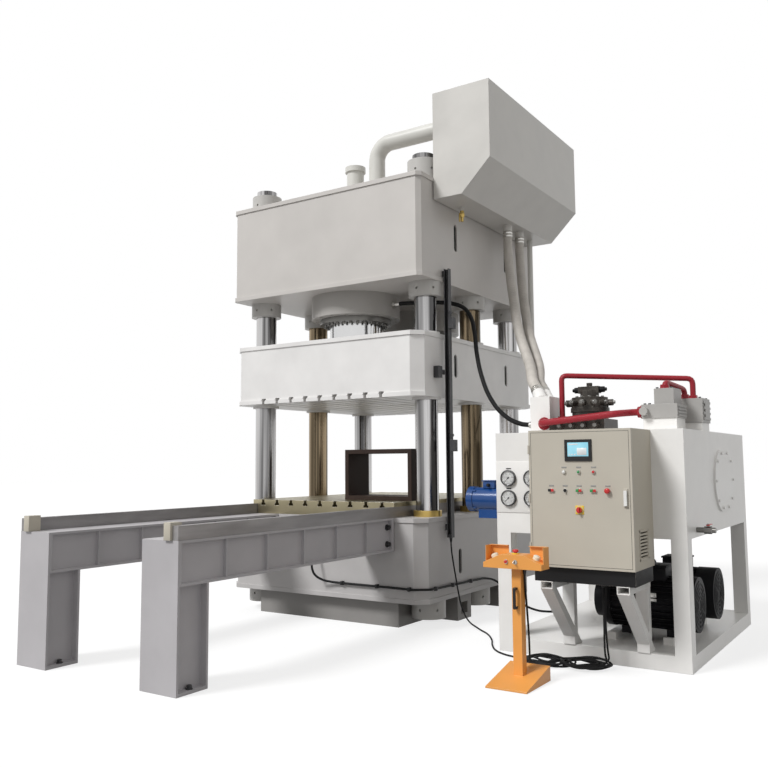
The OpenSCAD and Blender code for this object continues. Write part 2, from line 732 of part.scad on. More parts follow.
// A box section along Y whose sides lie back from its flanges
module box_beam(w, h, l) {
    translate([-w / 2, 0, 0]) cube([w, l, flange_t]);
    translate([-w / 2, 0, h - flange_t]) cube([w, l, flange_t]);
    for (x = [-w / 2 + web_back, w / 2 - web_back - web_t]) translate([x, 0, 0]) cube([web_t, l, h]);
}

module girders() color("#c6c6c6") for (side = [-1, 1])
    translate([side * girder_x, rail_front + leg_plate, girder_z]) {
        box_beam(girder_w, girder_h, girder_l - leg_plate);
        for (i = [1 : panel_n - 1])
            translate([-girder_w / 2 + 4, i * (girder_l - leg_plate) / panel_n, 0])
                cube([girder_w - 8, rib_t, girder_h]);
        translate([-girder_w / 2, 0, 0]) cube([girder_w, rib_t, girder_h]);
        translate([-girder_w / 2, girder_l - leg_plate - end_plate, 0])
            cube([girder_w, end_plate, girder_h]);
    }

module legs() color("#cbcbcc") for (side = [-1, 1]) translate([side * girder_x, rail_front, 0]) {
    translate([-girder_w / 2, 0, 0]) cube([girder_w, leg_plate, bed_top]);
    translate([-girder_w / 2, leg_d - flange_t, 0]) cube([girder_w, flange_t, girder_z]);
    for (x = [-girder_w / 2 + leg_back, girder_w / 2 - leg_back - web_t])
        translate([x, 0, 0]) cube([web_t, leg_d, girder_z]);
    difference() {
        translate([-girder_w / 2, 0, 0]) cube([girder_w, leg_d, foot_t]);
        for (x = [-1, 1]) translate([x * (girder_w - leg_back) / 2, leg_d / 2, -eps])
            cylinder(h = foot_t + 2 * eps, d = foot_hole_d);
    }
}

// Power unit

// A square tube along Y
module square_tube(w, h, l, t) {
    difference() {
        cube([w, l, h]);
        translate([t, -eps, t]) cube([w - 2 * t, l + 2 * eps, h - 2 * t]);
    }
}

module power_frame() color("#e8e7e3") {
    translate([unit_x0, unit_y0, 0]) difference() {
        cube([unit_w, unit_d, base_h]);
        translate([60, 60, -eps]) cube([unit_w - 120, unit_d - 120, base_h - 12 + eps]);
    }
    for (x = [unit_x0, unit_x1 - post_w], y = [unit_y0, unit_y1 - post_w])
        translate([x, y, base_h]) cube([post_w, post_w, oil_z - base_h]);
    for (y = motor_ys, x = [motor_x1 - motor_l + 130, motor_x1 - 250])
        translate([x, y - motor_d / 2, base_h]) cube([80, motor_d, 60]);
    for (x = bracket_xs) {
        translate([x, cab_y0 + 40, cab_z - plinth_h - bracket_h])
            square_tube(bracket_w, bracket_h, cab_d + 30, 6);
        translate([x, cab_y1 - 10, base_h]) cube([bracket_w, 70, cab_z - plinth_h - bracket_h - base_h]);
        strut(x);
    }
}

// Diagonal strut from the base to the front end of a cabinet bracket
module strut(x) {
    low = base_h;
    high = cab_z - plinth_h - bracket_h;
    front = cab_y0 + 40;
    foot = unit_y0 + 60;
    translate([x, 0, 0]) rotate([90, 0, 90]) linear_extrude(bracket_w)
        polygon([[front, high], [front + strut_h, high], [foot + strut_h, low], [foot, low]]);
}

module oil_tank() color("#eceae6") {
    difference() {
        translate([unit_x0, unit_y0, oil_z]) cube([unit_w, unit_d, oil_h]);
        translate([unit_x0 + oil_wall, unit_y0 + oil_wall, oil_z + oil_wall])
            cube([unit_w - 2 * oil_wall, unit_d - 2 * oil_wall, oil_h - 2 * oil_wall]);
        translate([unit_x1 - oil_wall - eps, manhole_y, oil_z + oil_h / 2]) rotate([0, 90, 0])
            linear_extrude(oil_wall + 2 * eps) obround(manhole_h - 120, manhole_w - 120);
    }
    for (b = [front_block, rear_block]) translate([b[0] + stand_in, b[1] + stand_in, oil_top - eps])
        cube([b[2] - 2 * stand_in, b[3] - 2 * stand_in, b[4] + eps]);
    translate([riser_x - riser_w / 2, riser_y - riser_d / 2, oil_top]) difference() {
        cube([riser_w, riser_d, riser_h]);
        translate([oil_wall, oil_wall, -eps])
            cube([riser_w - 2 * oil_wall, riser_d - 2 * oil_wall, riser_h - oil_wall + eps]);
    }
    for (route = [front_return_route, rear_return_route]) {
        p = route[len(route) - 1];
        v = p - route[len(route) - 2];
        translate(p + gap * unit(v)) rotate([0, acos(v[2] / norm(v)), atan2(v[1], v[0])])
            cylinder(h = nozzle_l, d = return_hose_d + 8);
    }
}

module manhole_cover() color("#efeeea")
    translate([unit_x1, manhole_y, oil_z + oil_h / 2]) rotate([0, 90, 0]) {
    linear_extrude(manhole_t) obround(manhole_h, manhole_w);
    for (side = [-1, 1]) {
        for (i = [0 : 4]) translate([0, side * (manhole_w - manhole_h) / 2, manhole_t])
            rotate(side * 90 + (i - 2) * 45) translate([manhole_h / 2 - 30, 0, 0])
                cylinder(h = 12, d = 26, $fn = 6);
    }
}

module gauges() color("#26272a") for (g = gauge_at) translate([g[0], unit_y0, g[1]]) rotate([90, 0, 0]) {
    difference() {
        cylinder(h = gauge_t, d = gauge_d);
        translate([0, 0, gauge_t - gauge_recess]) cylinder(h = gauge_recess + eps, d = gauge_d - 16);
    }
    cylinder(h = gauge_t - 2, d = 5);
}

// A gauge needle that rests at the low end of its dial
module needle(g) color("#1c1c1e")
    translate([g[0], unit_y0 - gauge_t + gauge_recess - gap, g[1]]) rotate([90, 0, 0]) difference() {
        union() {
            cylinder(h = 3, d = 14);
            rotate(225) linear_extrude(2)
                polygon([[-14, -3], [gauge_d / 2 - 20, -0.8], [gauge_d / 2 - 20, 0.8], [-14, 3]]);
        }
        translate([0, 0, -eps]) cylinder(h = 5 + 2 * eps, d = 5 + 2 * run);
    }
module needle_a() needle(gauge_at[0]);
module needle_b() needle(gauge_at[1]);
module needle_c() needle(gauge_at[2]);
module needle_d() needle(gauge_at[3]);

module valve_stack() color("#2b2a2b") translate([stack_x, stack_y, oil_top]) {
    translate([-280, -190, 0]) cube([510, 380, 120]);
    translate([stack_shift, 0, 120 - eps]) {
        cylinder(h = 200, d = stack_d, $fn = 20);
        translate([0, 0, 66]) cylinder(h = 40, d = stack_d + 24, $fn = 40);
        translate([0, 0, 106]) bolt_circle(12, stack_d / 2 - 8, 30, 22);
        translate([0, 0, 199]) cylinder(h = 66, d = 170, $fn = 12);
        translate([-95, -42, 240]) cube([190, 84, 62]);
        translate([0, 0, 301]) cylinder(h = 34, d = 52);
        for (i = [0 : 6]) rotate(180 + i * 30) translate([stack_d / 2 - 12, 0, 150]) rotate([0, 90, 0])
            cylinder(h = 66, d = 58, $fn = 12);
    }
    for (x = [-170, -60, 50, 160]) translate([x, -190 + eps, 62]) rotate([90, 0, 0])
        cylinder(h = 42, d = 62, $fn = 6);
}

module valve_blocks() color("#9b9c9a") {
    for (b = [front_block, rear_block]) translate([b[0], b[1], oil_top + b[4]]) {
        cube([b[2], b[3], b[5]]);
        for (i = [0 : 3]) translate([-fin_out, 20, b[5] * (0.12 + i * 0.22)])
            cube([b[2] + 2 * fin_out, b[3] - 40, b[5] * 0.1]);
    }
    translate([front_block[0] + head_block[0], front_block[1] + head_block[1],
        oil_top + front_block[4] + front_block[5] - eps])
            cube([head_block[2], head_block[3], head_block[4]]);
    translate([front_block[0] + 30, front_block[1] - 60, oil_top + front_block[4] + 60])
        rotate([-90, 0, 0]) cylinder(h = 62, d = 70);
    translate([rear_block[0] + rear_block[2] - eps, rear_block[1] + 60, oil_top + rear_block[4] + 40])
        cube([12, 160, 150]);
}

// Rounds the corners of a pipe's line by arcs of control points
function elbows(p, r) = [p[0], for (i = [1 : len(p) - 2], k = [0 : 4]) let (
    a = p[i] + r * unit(p[i - 1] - p[i]), c = p[i] + r * unit(p[i + 1] - p[i]), u = k / 4)
    (1 - u) * (1 - u) * a + 2 * u * (1 - u) * p[i] + u * u * c, p[len(p) - 1]];
module pipe_run(p, d) {
    tube(elbows(p, d), d, 1, 12);
}

module red_pipes() color("#a3202c") {
    pipe_run([[stack_x - 225, stack_y, oil_top + 120], [stack_x - 225, stack_y, oil_top + 538],
        [rear_block[0] + 90, rear_block[1] + 190, oil_top + 482],
        [rear_block[0] + 90, rear_block[1] + 190, oil_top + rear_block[4] + rear_block[5]]], pipe_d);
    pipe_run([[front_block[0] + 170, front_block[1] + 130, oil_top + front_top],
        [front_block[0] + 170, front_block[1] + 130, oil_top + front_top + 62],
        [rear_block[0] + 50, rear_block[1] + 50, oil_top + 374],
        [rear_block[0] + 50, rear_block[1] + 50, oil_top + rear_block[4] + rear_block[5]]], pipe_d);
    pipe_run([[riser_x + 40, riser_y - riser_d / 2, oil_top + 90],
        [riser_x + 40, unit_y0 + 238, oil_top + 90], [front_block[0] - 190, unit_y0 + 238, oil_top + 150],
        [front_block[0] - 90, unit_y0 + 400, oil_top + 165],
        [front_block[0] - fin_out - gap, unit_y0 + 400, oil_top + 165]], pipe_d + 10);
}

module motors() color("#2a2b2d") for (y = motor_ys) translate([motor_x1, y, motor_axis_z])
    rotate([0, -90, 0]) {
        cylinder(h = 170, d = motor_d);
        translate([0, 0, 170]) cylinder(h = motor_l - 330, d = motor_d - 60);
        for (i = [0 : 23]) rotate(i * 15) translate([motor_d / 2 - 34, -4, 170])
            cube([30, 8, motor_l - 330]);
        translate([0, 0, motor_l - 160]) cylinder(h = 60, d = motor_d);
        translate([0, 0, motor_l - 100]) cylinder(h = 100, d = motor_d - 140);
        for (z = [150, motor_l - 330]) translate([-motor_d / 2 - 25, -motor_d / 2 + 40, z])
            cube([60, motor_d - 80, 80]);
    }

module circulation_motor() color("#2450a4") translate([unit_x0, unit_y0 + 200, gauge_z - 200]) {
    rotate([0, -90, 0]) cylinder(h = 330, d = 220);
    rotate([0, -90, 0]) cylinder(h = 30, d = 270);
    rotate([0, -90, 0]) translate([0, 0, 300]) cylinder(h = 60, d = 236);
    translate([-250, -70, -170]) cube([200, 140, 80]);
}

module drain_valve() color("#b9b7b1") translate([unit_x1, drain_y, drain_z]) {
    rotate([0, 90, 0]) cylinder(h = 60, d = 44);
    translate([60, 0, 0]) rotate([0, 90, 0]) cylinder(h = 60, d = 62, $fn = 6);
    translate([120, 0, 0]) rotate([0, 90, 0]) cylinder(h = 30, d = 44);
    translate([90, 0, 0]) cylinder(h = 52, d = 14);
}

module drain_lever() color("#b03a2e") translate([unit_x1 + 90, drain_y, drain_z + 36]) difference() {
    union() {
        cylinder(h = 8, d = 30);
        translate([-9, 0, 2]) cube([18, 120, 6]);
    }
    translate([0, 0, -eps]) cylinder(h = 8 + 2 * eps, d = 14 + 2 * run);
}

// Control cabinet

module cabinet() color("#cfc6b4") {
    translate([cab_x0, cab_y0 + door_t + door_seal, cab_z]) difference() {
        cube([cab_w, cab_d - door_t - door_seal, cab_h]);
        translate([20, -eps, 20]) cube([cab_w - 40, cab_d - door_t - door_seal - 2 + eps, cab_h - 40]);
        for (i = [0 : 7]) translate([cab_w - 21, 120, 90 + i * 26]) cube([22, 190, 12]);
    }
    translate([cab_x0 + plinth_inset, cab_y0 + door_t + plinth_inset, cab_z - plinth_h])
        cube([cab_w - 2 * plinth_inset, cab_d - door_t - 2 * plinth_inset, plinth_h]);
}

// A round shape on the door, standing out by h and reaching in by depth
module on_door(p, d, h, depth) {
    translate([p[0], cab_y0 + depth, p[1]]) rotate([90, 0, 0]) cylinder(h = h + depth, d = d);
}

module cabinet_door() color("#d3cab8") difference() {
    union() {
        translate([cab_x0, cab_y0, cab_z]) cube([cab_w, door_t, cab_h]);
        for (p = row_at) on_door(p, bezel_d, bezel_h, eps);
        on_door(switch_at, bezel_d + 30, bezel_h, eps);
        translate([handle_x - 17, cab_y0 - 8, handle_z - 70]) cube([34, 9, 140]);
        for (z = hinge_zs) translate([cab_x0, cab_y0, z]) cylinder(h = 70, d = 18);
    }
    for (p = row_at) on_door(p, button_d + 2 * run, bezel_h + eps, pocket);
    on_door(switch_at, button_d + 2 * run, bezel_h + eps, pocket);
    on_door([handle_x, handle_z + 40], 16 + 2 * run, 9, pocket);
}

module door_handle() color("#e6e5e1") {
    on_door([handle_x, handle_z + 40], 16, 10, pocket - 2);
    translate([handle_x - 12, cab_y0 - 22, handle_z - 60]) cube([24, 12, 116]);
}

module screen() color("#1f2226") translate([panel_x - screen_w / 2, cab_y0 - 10, screen_z - screen_h / 2])
    difference() {
        cube([screen_w, 10, screen_h]);
        translate([24, -eps, 26]) cube([screen_w - 48, 3 + eps, screen_h - 48]);
    }

module pilot_lamps() color("#d8d8d6") for (p = lamp_at) {
    on_door(p, bezel_d, bezel_h, 0);
    on_door(p, button_d, bezel_h + 8, 0);
}

// A push button in its door bezel
module push_button(p) {
    on_door(p, button_d, bezel_h + 7, pocket - 8);
}
module pump_button_a() color("#8c2b2b") push_button(row_at[0]);
module pump_button_b() color("#2f7a45") push_button(row_at[2]);
module pump_button_c() color("#2f7a45") push_button(row_at[3]);

module mode_selector() color("#1d1d1f") {
    push_button(row_at[1]);
    translate([row_at[1][0] - 4, cab_y0 - bezel_h - 17, row_at[1][1] - 11]) cube([8, 12, 22]);
}

module stop_mushroom() color("#c22a2a") {
    push_button(row_at[4]);
    translate([row_at[4][0], cab_y0 - bezel_h - 7, row_at[4][1]]) rotate([90, 0, 0])
        cylinder(h = 12, d = 42);
}

module main_switch() color("#c5292a") {
    push_button(switch_at);
    translate([switch_at[0], cab_y0 - bezel_h - 7, switch_at[1]]) rotate([90, 0, 0])
        cylinder(h = 10, d = 44);
    translate([switch_at[0] - 7, cab_y0 - bezel_h - 31, switch_at[1] - 22]) cube([14, 16, 44]);
}

// Two-hand pedestal

// Moves its children to the sloped shoulder on one side of the head
module on_shoulder(side) {
    translate([stand_x + side * (head_flat / 2 + slope_run * palm_at), stand_y,
        head_z + head_h - slope_rise * palm_at]) rotate([0, side * slope_deg, 0]) children();
}

module pedestal() color("#e8912f") {
    translate([stand_x - stand_base_w / 2, 0, 0]) rotate([90, 0, 90]) linear_extrude(stand_base_w)
        polygon([[stand_y - stand_base_d / 2, 0], [stand_y + stand_base_d / 2, 0],
            [stand_y + stand_base_d / 2, stand_base_h], [stand_y - stand_base_d / 2, stand_toe_h]]);
    translate([stand_x - stand_w / 2, stand_y, stand_toe_h])
        cube([stand_w, stand_w, head_z + 10 - stand_toe_h]);
    difference() {
        translate([stand_x, stand_y + head_d / 2, head_z]) rotate([90, 0, 0]) linear_extrude(head_d)
            polygon([[-head_w / 2, 0], [head_w / 2, 0], [head_w / 2, head_side_h], [head_flat / 2, head_h],
                [-head_flat / 2, head_h], [-head_w / 2, head_side_h]]);
        for (side = [-1, 1]) on_shoulder(side) translate([0, 0, -20]) cylinder(h = 60, d = palm_d + 2 * run);
        translate([stand_x, stand_y, head_z + head_h - 20]) cylinder(h = 30, d = button_d + 2 * run);
        for (x = [-red_out, key_out]) front_bore(x, button_d + 2 * run, 20);
    }
    for (side = [-1, 1]) translate([stand_x, stand_y, head_z]) scale([side, 1, 1]) hood();
    for (z = [grab_z, grab_z + grab_l - grab_bar])
        translate([stand_x - grab_w / 2, stand_y - grab_out + grab_t - eps, z])
            cube([grab_w, grab_out - grab_t + 2 * eps, grab_bar]);
    translate([stand_x - grab_w / 2, stand_y - grab_out, grab_z]) cube([grab_w, grab_t, grab_l]);
}

// An upright guard behind and beside a palm button, on the right end of the head
module hood() {
    translate([head_w / 2 - hood_w, hood_back, 10]) cube([hood_w, hood_t, hood_top - 10]);
    translate([head_w / 2 - hood_t, hood_back - hood_reach, 10])
        cube([hood_t, hood_reach + eps, hood_top - 10]);
    translate([head_w / 2 - hood_w, hood_back - hood_lip, hood_top - hood_t])
        cube([hood_w, hood_lip + eps, hood_t]);
}

// A bore into the head's front face
module front_bore(x, d, depth) {
    translate([stand_x + x, stand_y - head_d / 2 + depth, front_z]) rotate([90, 0, 0])
        cylinder(h = depth + eps, d = d);
}

module palm(side) {
    on_shoulder(side) translate([0, 0, -8]) cylinder(h = 34, d = palm_d);
}
module palm_left() color("#e4e2dc") palm(-1);
module palm_right() color("#e4e2dc") palm(1);

module pedestal_estop() color("#c9252b") translate([stand_x, stand_y, head_z + head_h]) {
    translate([0, 0, -10]) cylinder(h = 26, d = button_d);
    translate([0, 0, 16]) cylinder(h = 16, d = 44);
}

module key_switch() color("#3c3e42") translate([stand_x + key_out, stand_y - head_d / 2, front_z])
    rotate([90, 0, 0]) {
        translate([0, 0, -14]) cylinder(h = 22, d = button_d);
        translate([-2, -11, 8]) cube([4, 22, 16]);
    }

module pedestal_button() color("#c9252b") translate([stand_x - red_out, stand_y - head_d / 2, front_z])
    rotate([90, 0, 0]) translate([0, 0, -12]) cylinder(h = 26, d = button_d);

// Hoses and cables

module pedestal_cable() color("#1b1b1c") {
    tube(pedestal_route, cable_d, 4, 8);
    tube(cabinet_route, cable_d, 4, 8);
}

module cable_coil() color("#1b1b1c") for (x = coil_xs) translate([x, coil_y, 0]) rotate_extrude()
    translate([coil_r - coil_w / 2, 0]) square([coil_w, coil_h]);

module sensor_cable() color("#1b1b1c") {
    tube(sensor_route, cable_d, 4, 8);
    tube(sensor_rise, cable_d, 4, 8);
}

module return_hoses() color("#9a9995") {
    tube(front_return_route, return_hose_d, 2, 10);
    tube(rear_return_route, return_hose_d, 2, 10);
}

module pressure_hoses() color("#1f1f20") {
    tube(pressure_route, pressure_hose_d, 2, 10);
    tube(rear_hose_route, pressure_hose_d, 2, 10);
}

module table_hose() color("#1f1f20") tube(table_route, table_hose_d, 3, 8);

crown();
bed();
bed_base();
columns();
column_nuts();
column_rings();
main_cylinders();
gland_rings();
prefill_tank();
prefill_pipes();
scale_bar();
table_cylinder();
rails();
girders();
legs();
slide();
rams();
slide_bushes();
striker();
bolster();
spacer_frame();
table_rod();
power_frame();
oil_tank();
manhole_cover();
gauges();
needle_a();
needle_b();
needle_c();
needle_d();
valve_stack();
valve_blocks();
red_pipes();
motors();
circulation_motor();
drain_valve();
drain_lever();
cabinet();
cabinet_door();
door_handle();
screen();
pilot_lamps();
pump_button_a();
pump_button_b();
pump_button_c();
mode_selector();
stop_mushroom();
main_switch();
pedestal();
palm_left();
palm_right();
pedestal_estop();
key_switch();
pedestal_button();
pedestal_cable();
cable_coil();
sensor_cable();
return_hoses();
pressure_hoses();
table_hose();
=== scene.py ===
# %% [markdown]
# # A six-column hydraulic press with its power unit
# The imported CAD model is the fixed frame. It already has the plates, columns, hoses' solids and
# controls in metres, so this lesson only dresses it: finishes first, then the small pieces that a
# solid model leaves out, such as dials, ribs, clamps and screw heads.

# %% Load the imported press
import bpy, bmesh
from math import radians, pi, sin, cos
from mathutils import Matrix, Vector


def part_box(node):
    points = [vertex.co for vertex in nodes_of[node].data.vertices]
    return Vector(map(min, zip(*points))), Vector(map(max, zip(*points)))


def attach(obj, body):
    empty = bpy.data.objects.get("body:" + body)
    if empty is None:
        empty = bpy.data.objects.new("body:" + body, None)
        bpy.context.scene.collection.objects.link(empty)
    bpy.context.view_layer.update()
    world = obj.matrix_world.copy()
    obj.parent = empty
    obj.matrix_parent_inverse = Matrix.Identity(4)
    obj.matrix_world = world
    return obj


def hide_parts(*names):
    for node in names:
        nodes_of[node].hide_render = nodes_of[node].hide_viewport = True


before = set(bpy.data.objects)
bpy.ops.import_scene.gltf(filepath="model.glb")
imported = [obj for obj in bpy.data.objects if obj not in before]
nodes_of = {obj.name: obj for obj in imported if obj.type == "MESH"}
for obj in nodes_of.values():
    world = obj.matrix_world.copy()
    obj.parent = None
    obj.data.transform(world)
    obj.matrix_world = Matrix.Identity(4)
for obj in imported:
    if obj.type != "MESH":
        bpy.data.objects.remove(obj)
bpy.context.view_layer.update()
scene = bpy.context.scene
scene.view_settings.view_transform = "Standard"

# %% [markdown]
# ## Camera
# The photograph was matched to the press's own straight lines, which gave the camera's
# place, its turn and its lens. A slight upward tilt and a very small roll are part of that match.

# %% Camera at the photograph's viewpoint
eye = bpy.data.cameras.new("photo_eye")
eye.sensor_width = 36.0
eye.lens = 837.0 / 768.0 * 36.0
viewer = bpy.data.objects.new("photo_eye", eye)
viewer.matrix_world = (Matrix.Translation((5.558, -8.563, 1.65)) @ Matrix.Rotation(radians(33.4), 4, "Z")
    @ Matrix.Rotation(radians(95.4), 4, "X") @ Matrix.Rotation(radians(-0.4), 4, "Z"))
scene.collection.objects.link(viewer)
scene.camera = viewer
print("lens", round(eye.lens, 2))

# %% [markdown]
# ## Light and floor
# A works photograph cut out on white has soft light from the front left. One wide sun gives the
# brighter front faces, and an even world fills the sides. Camera rays see pure white, and so do
# mirror-like rays, so that metal and glass show the same pale room.

# %% World, sun and floor
room = bpy.data.worlds.new("pale_room")
scene.world = room
room.use_nodes = True
tree = room.node_tree
tree.nodes.clear()
fill = tree.nodes.new("ShaderNodeBackground")
fill.inputs["Color"].default_value = (1.0, 0.99, 0.97, 1)
fill.inputs["Strength"].default_value = 0.51
white = tree.nodes.new("ShaderNodeBackground")
white.inputs["Color"].default_value = (1, 1, 1, 1)
rays = tree.nodes.new("ShaderNodeLightPath")
seen = tree.nodes.new("ShaderNodeMath")
seen.operation = "MAXIMUM"
seen_glass = tree.nodes.new("ShaderNodeMath")
seen_glass.operation = "MAXIMUM"
choose = tree.nodes.new("ShaderNodeMixShader")
out = tree.nodes.new("ShaderNodeOutputWorld")
tree.links.new(rays.outputs["Is Camera Ray"], seen.inputs[0])
tree.links.new(rays.outputs["Is Glossy Ray"], seen.inputs[1])
tree.links.new(seen.outputs[0], seen_glass.inputs[0])
tree.links.new(rays.outputs["Is Transmission Ray"], seen_glass.inputs[1])
tree.links.new(seen_glass.outputs[0], choose.inputs[0])
tree.links.new(fill.outputs[0], choose.inputs[1])
tree.links.new(white.outputs[0], choose.inputs[2])
tree.links.new(choose.outputs[0], out.inputs[0])
sun = bpy.data.lights.new("front_left_sun", "SUN")
sun.energy = 2.45
sun.angle = radians(16)
lamp = bpy.data.objects.new("front_left_sun", sun)
lamp.rotation_euler = Vector((0.30, 0.66, -0.69)).to_track_quat("-Z", "Y").to_euler()
scene.collection.objects.link(lamp)
print("sun", sun.energy)

# %% The pale floor
bm = bmesh.new()
bmesh.ops.create_grid(bm, x_segments=1, y_segments=1, size=60)
sheet = bpy.data.meshes.new("floor")
bm.to_mesh(sheet)
bm.free()
floor = bpy.data.objects.new("floor", sheet)
floor.location = (0, 0, -0.002)
scene.collection.objects.link(floor)
pale = bpy.data.materials.new("pale_floor")
pale.use_nodes = True
tree = pale.node_tree
tree.nodes.clear()
matt = tree.nodes.new("ShaderNodeBsdfDiffuse")
matt.inputs["Color"].default_value = (0.30, 0.30, 0.30, 1)
lift = tree.nodes.new("ShaderNodeEmission")
rays = tree.nodes.new("ShaderNodeLightPath")
seen = tree.nodes.new("ShaderNodeMath")
seen.operation = "MAXIMUM"
half = tree.nodes.new("ShaderNodeMath")
half.operation = "MULTIPLY"
half.inputs[1].default_value = 0.74
both = tree.nodes.new("ShaderNodeAddShader")
out = tree.nodes.new("ShaderNodeOutputMaterial")
tree.links.new(rays.outputs["Is Camera Ray"], seen.inputs[0])
tree.links.new(rays.outputs["Is Glossy Ray"], seen.inputs[1])
tree.links.new(seen.outputs[0], half.inputs[0])
tree.links.new(half.outputs[0], lift.inputs["Strength"])
tree.links.new(matt.outputs[0], both.inputs[0])
tree.links.new(lift.outputs[0], both.inputs[1])
tree.links.new(both.outputs[0], out.inputs["Surface"])
sheet.materials.append(pale)

# %% [markdown]
# ## Finishes
# Nearly everything here is painted, plated or machined steel, so one recipe serves: a colour that
# clouds slightly, a fine grain in the bump, and corners where the coat has rubbed thin. The Bevel
# node feels for nearby corners, which rounds sharp edges in the light and marks where the wear goes.
# On the columns the clouds are strong upright streaks that paint reflections, and a darker copy on the middle
# columns paints their shade.

# %% The recipe for a coated or bare metal surface
def noise(tree, vector, scale, detail=4.0):
    dots = tree.nodes.new("ShaderNodeTexNoise")
    dots.inputs["Scale"].default_value = scale
    dots.inputs["Detail"].default_value = detail
    tree.links.new(vector, dots.inputs["Vector"])
    return dots.outputs["Fac"]


def spread(tree, value, low, high, to_low, to_high):
    step = tree.nodes.new("ShaderNodeMapRange")
    for name, number in zip(("From Min", "From Max", "To Min", "To Max"), (low, high, to_low, to_high)):
        step.inputs[name].default_value = number
    tree.links.new(value, step.inputs["Value"])
    return step.outputs["Result"]


def mixed(tree, share, first, second):
    mix = tree.nodes.new("ShaderNodeMix")
    mix.data_type = "RGBA"
    for socket, colour in ((mix.inputs[6], first), (mix.inputs[7], second)):
        if isinstance(colour, tuple):
            socket.default_value = (*colour, 1)
        else:
            tree.links.new(colour, socket)
    tree.links.new(share, mix.inputs[0])
    return mix.outputs[2]


def shade(colour, factor):
    return tuple(min(1.0, c * factor) for c in colour)


def coat(name, colour, rough=0.45, metal=0.0, cloud_and_reflection=(2.5, 0.06), grain=(150.0, 0.05), edge=0.004,
         worn=None, stretch=(1, 1, 1), dirt=0.0, gloss=0.5, split=None, sharp=0.2):
    """A clouded, finely grained surface whose corners are rounded and rubbed; strong, stretched clouds paint
    streaks of reflection.
    """
    mat = bpy.data.materials.new(name)
    mat.use_nodes = True
    tree = mat.node_tree
    shader = tree.nodes["Principled BSDF"]
    shader.inputs["Metallic"].default_value = metal
    shader.inputs["Specular IOR Level"].default_value = gloss
    where = tree.nodes.new("ShaderNodeTexCoord").outputs["Object"]
    lie = tree.nodes.new("ShaderNodeMapping")
    lie.inputs["Scale"].default_value = stretch
    tree.links.new(where, lie.inputs["Vector"])
    clouds_and_reflections = noise(tree, lie.outputs["Vector"], cloud_and_reflection[0], 6.0)
    share = spread(tree, clouds_and_reflections, 0.5 - sharp, 0.5 + sharp, 0.0, 1.0)
    tint = mixed(tree, share, shade(colour, 1 - cloud_and_reflection[1]), shade(colour, 1 + cloud_and_reflection[1]))
    if split:
        axis, level, other = split
        place = tree.nodes.new("ShaderNodeSeparateXYZ")
        tree.links.new(where, place.inputs["Vector"])
        size = tree.nodes.new("ShaderNodeMath")
        size.operation = "ABSOLUTE"
        tree.links.new(place.outputs[axis], size.inputs[0])
        tint = mixed(tree, spread(tree, size.outputs[0], level - 0.0005, level + 0.0005, 0.0, 1.0),
            mixed(tree, share, shade(other, 1 - cloud_and_reflection[1]), shade(other, 1 + cloud_and_reflection[1])), tint)
    if dirt:
        smear = noise(tree, lie.outputs["Vector"], 0.9, 9.0)
        tint = mixed(tree, spread(tree, smear, 0.52, 0.8, 0.0, dirt), tint, shade(colour, 0.45))
    if edge:
        corner = tree.nodes.new("ShaderNodeBevel")
        corner.samples = 4
        corner.inputs["Radius"].default_value = edge
        face = tree.nodes.new("ShaderNodeNewGeometry")
        lean = tree.nodes.new("ShaderNodeVectorMath")
        lean.operation = "DOT_PRODUCT"
        tree.links.new(corner.outputs["Normal"], lean.inputs[0])
        tree.links.new(face.outputs["True Normal"], lean.inputs[1])
        if worn:
            patch = noise(tree, where, 35.0, 3.0)
            near = spread(tree, lean.outputs["Value"], 0.99, 0.86, 0.0, 1.0)
            rub = tree.nodes.new("ShaderNodeMath")
            rub.operation = "MULTIPLY"
            tree.links.new(near, rub.inputs[0])
            tree.links.new(spread(tree, patch, 0.38, 0.62, 0.25, 1.0), rub.inputs[1])
            tint = mixed(tree, rub.outputs[0], tint, worn)
    tree.links.new(tint, shader.inputs["Base Color"])
    tree.links.new(spread(tree, clouds_and_reflections, 0.25, 0.75, rough - 0.07, rough + 0.07), shader.inputs["Roughness"])
    fine = noise(tree, lie.outputs["Vector"], grain[0], 2.0)
    bump = tree.nodes.new("ShaderNodeBump")
    bump.inputs["Strength"].default_value = grain[1]
    bump.inputs["Distance"].default_value = 0.002
    tree.links.new(fine, bump.inputs["Height"])
    if edge:
        tree.links.new(corner.outputs["Normal"], bump.inputs["Normal"])
    tree.links.new(bump.outputs["Normal"], shader.inputs["Normal"])
    return mat

# %% Paints of the press and the power unit
grey_paint = coat("grey_paint", (0.59, 0.565, 0.54), 0.42, cloud_and_reflection=(2.5, 0.035), worn=(0.70, 0.68, 0.66),
    dirt=0.10)
bed_grey = coat("bed_grey", (0.50, 0.485, 0.48), 0.42, worn=(0.58, 0.57, 0.56), dirt=0.22)
# The bed base's grey is about half the bed's: the darker colour paints the shade that the bed casts on it.
shaded_base_grey = coat("shaded_base_grey", (0.27, 0.26, 0.25), 0.5, worn=(0.35, 0.34, 0.33), dirt=0.3)
cylinder_grey = coat("cylinder_grey", (0.40, 0.385, 0.365), 0.42, worn=(0.52, 0.5, 0.48), dirt=0.2)
slide_white = coat("slide_white", (0.80, 0.79, 0.78), 0.40, worn=(0.82, 0.81, 0.80), dirt=0.08)
pipe_grey = coat("pipe_grey", (0.64, 0.635, 0.60), 0.36, worn=(0.70, 0.69, 0.67))
tank_grey = coat("tank_grey", (0.60, 0.585, 0.555), 0.38, worn=(0.70, 0.69, 0.67), dirt=0.12)
unit_white = coat("unit_white", (0.84, 0.83, 0.81), 0.36, worn=(0.83, 0.82, 0.80), dirt=0.08)
girder_grey = coat("girder_grey", (0.47, 0.455, 0.47), 0.45, worn=(0.58, 0.57, 0.58), dirt=0.18)
nut_paint = coat("nut_paint", (0.52, 0.51, 0.49), 0.42, worn=(0.62, 0.61, 0.59), dirt=0.2)
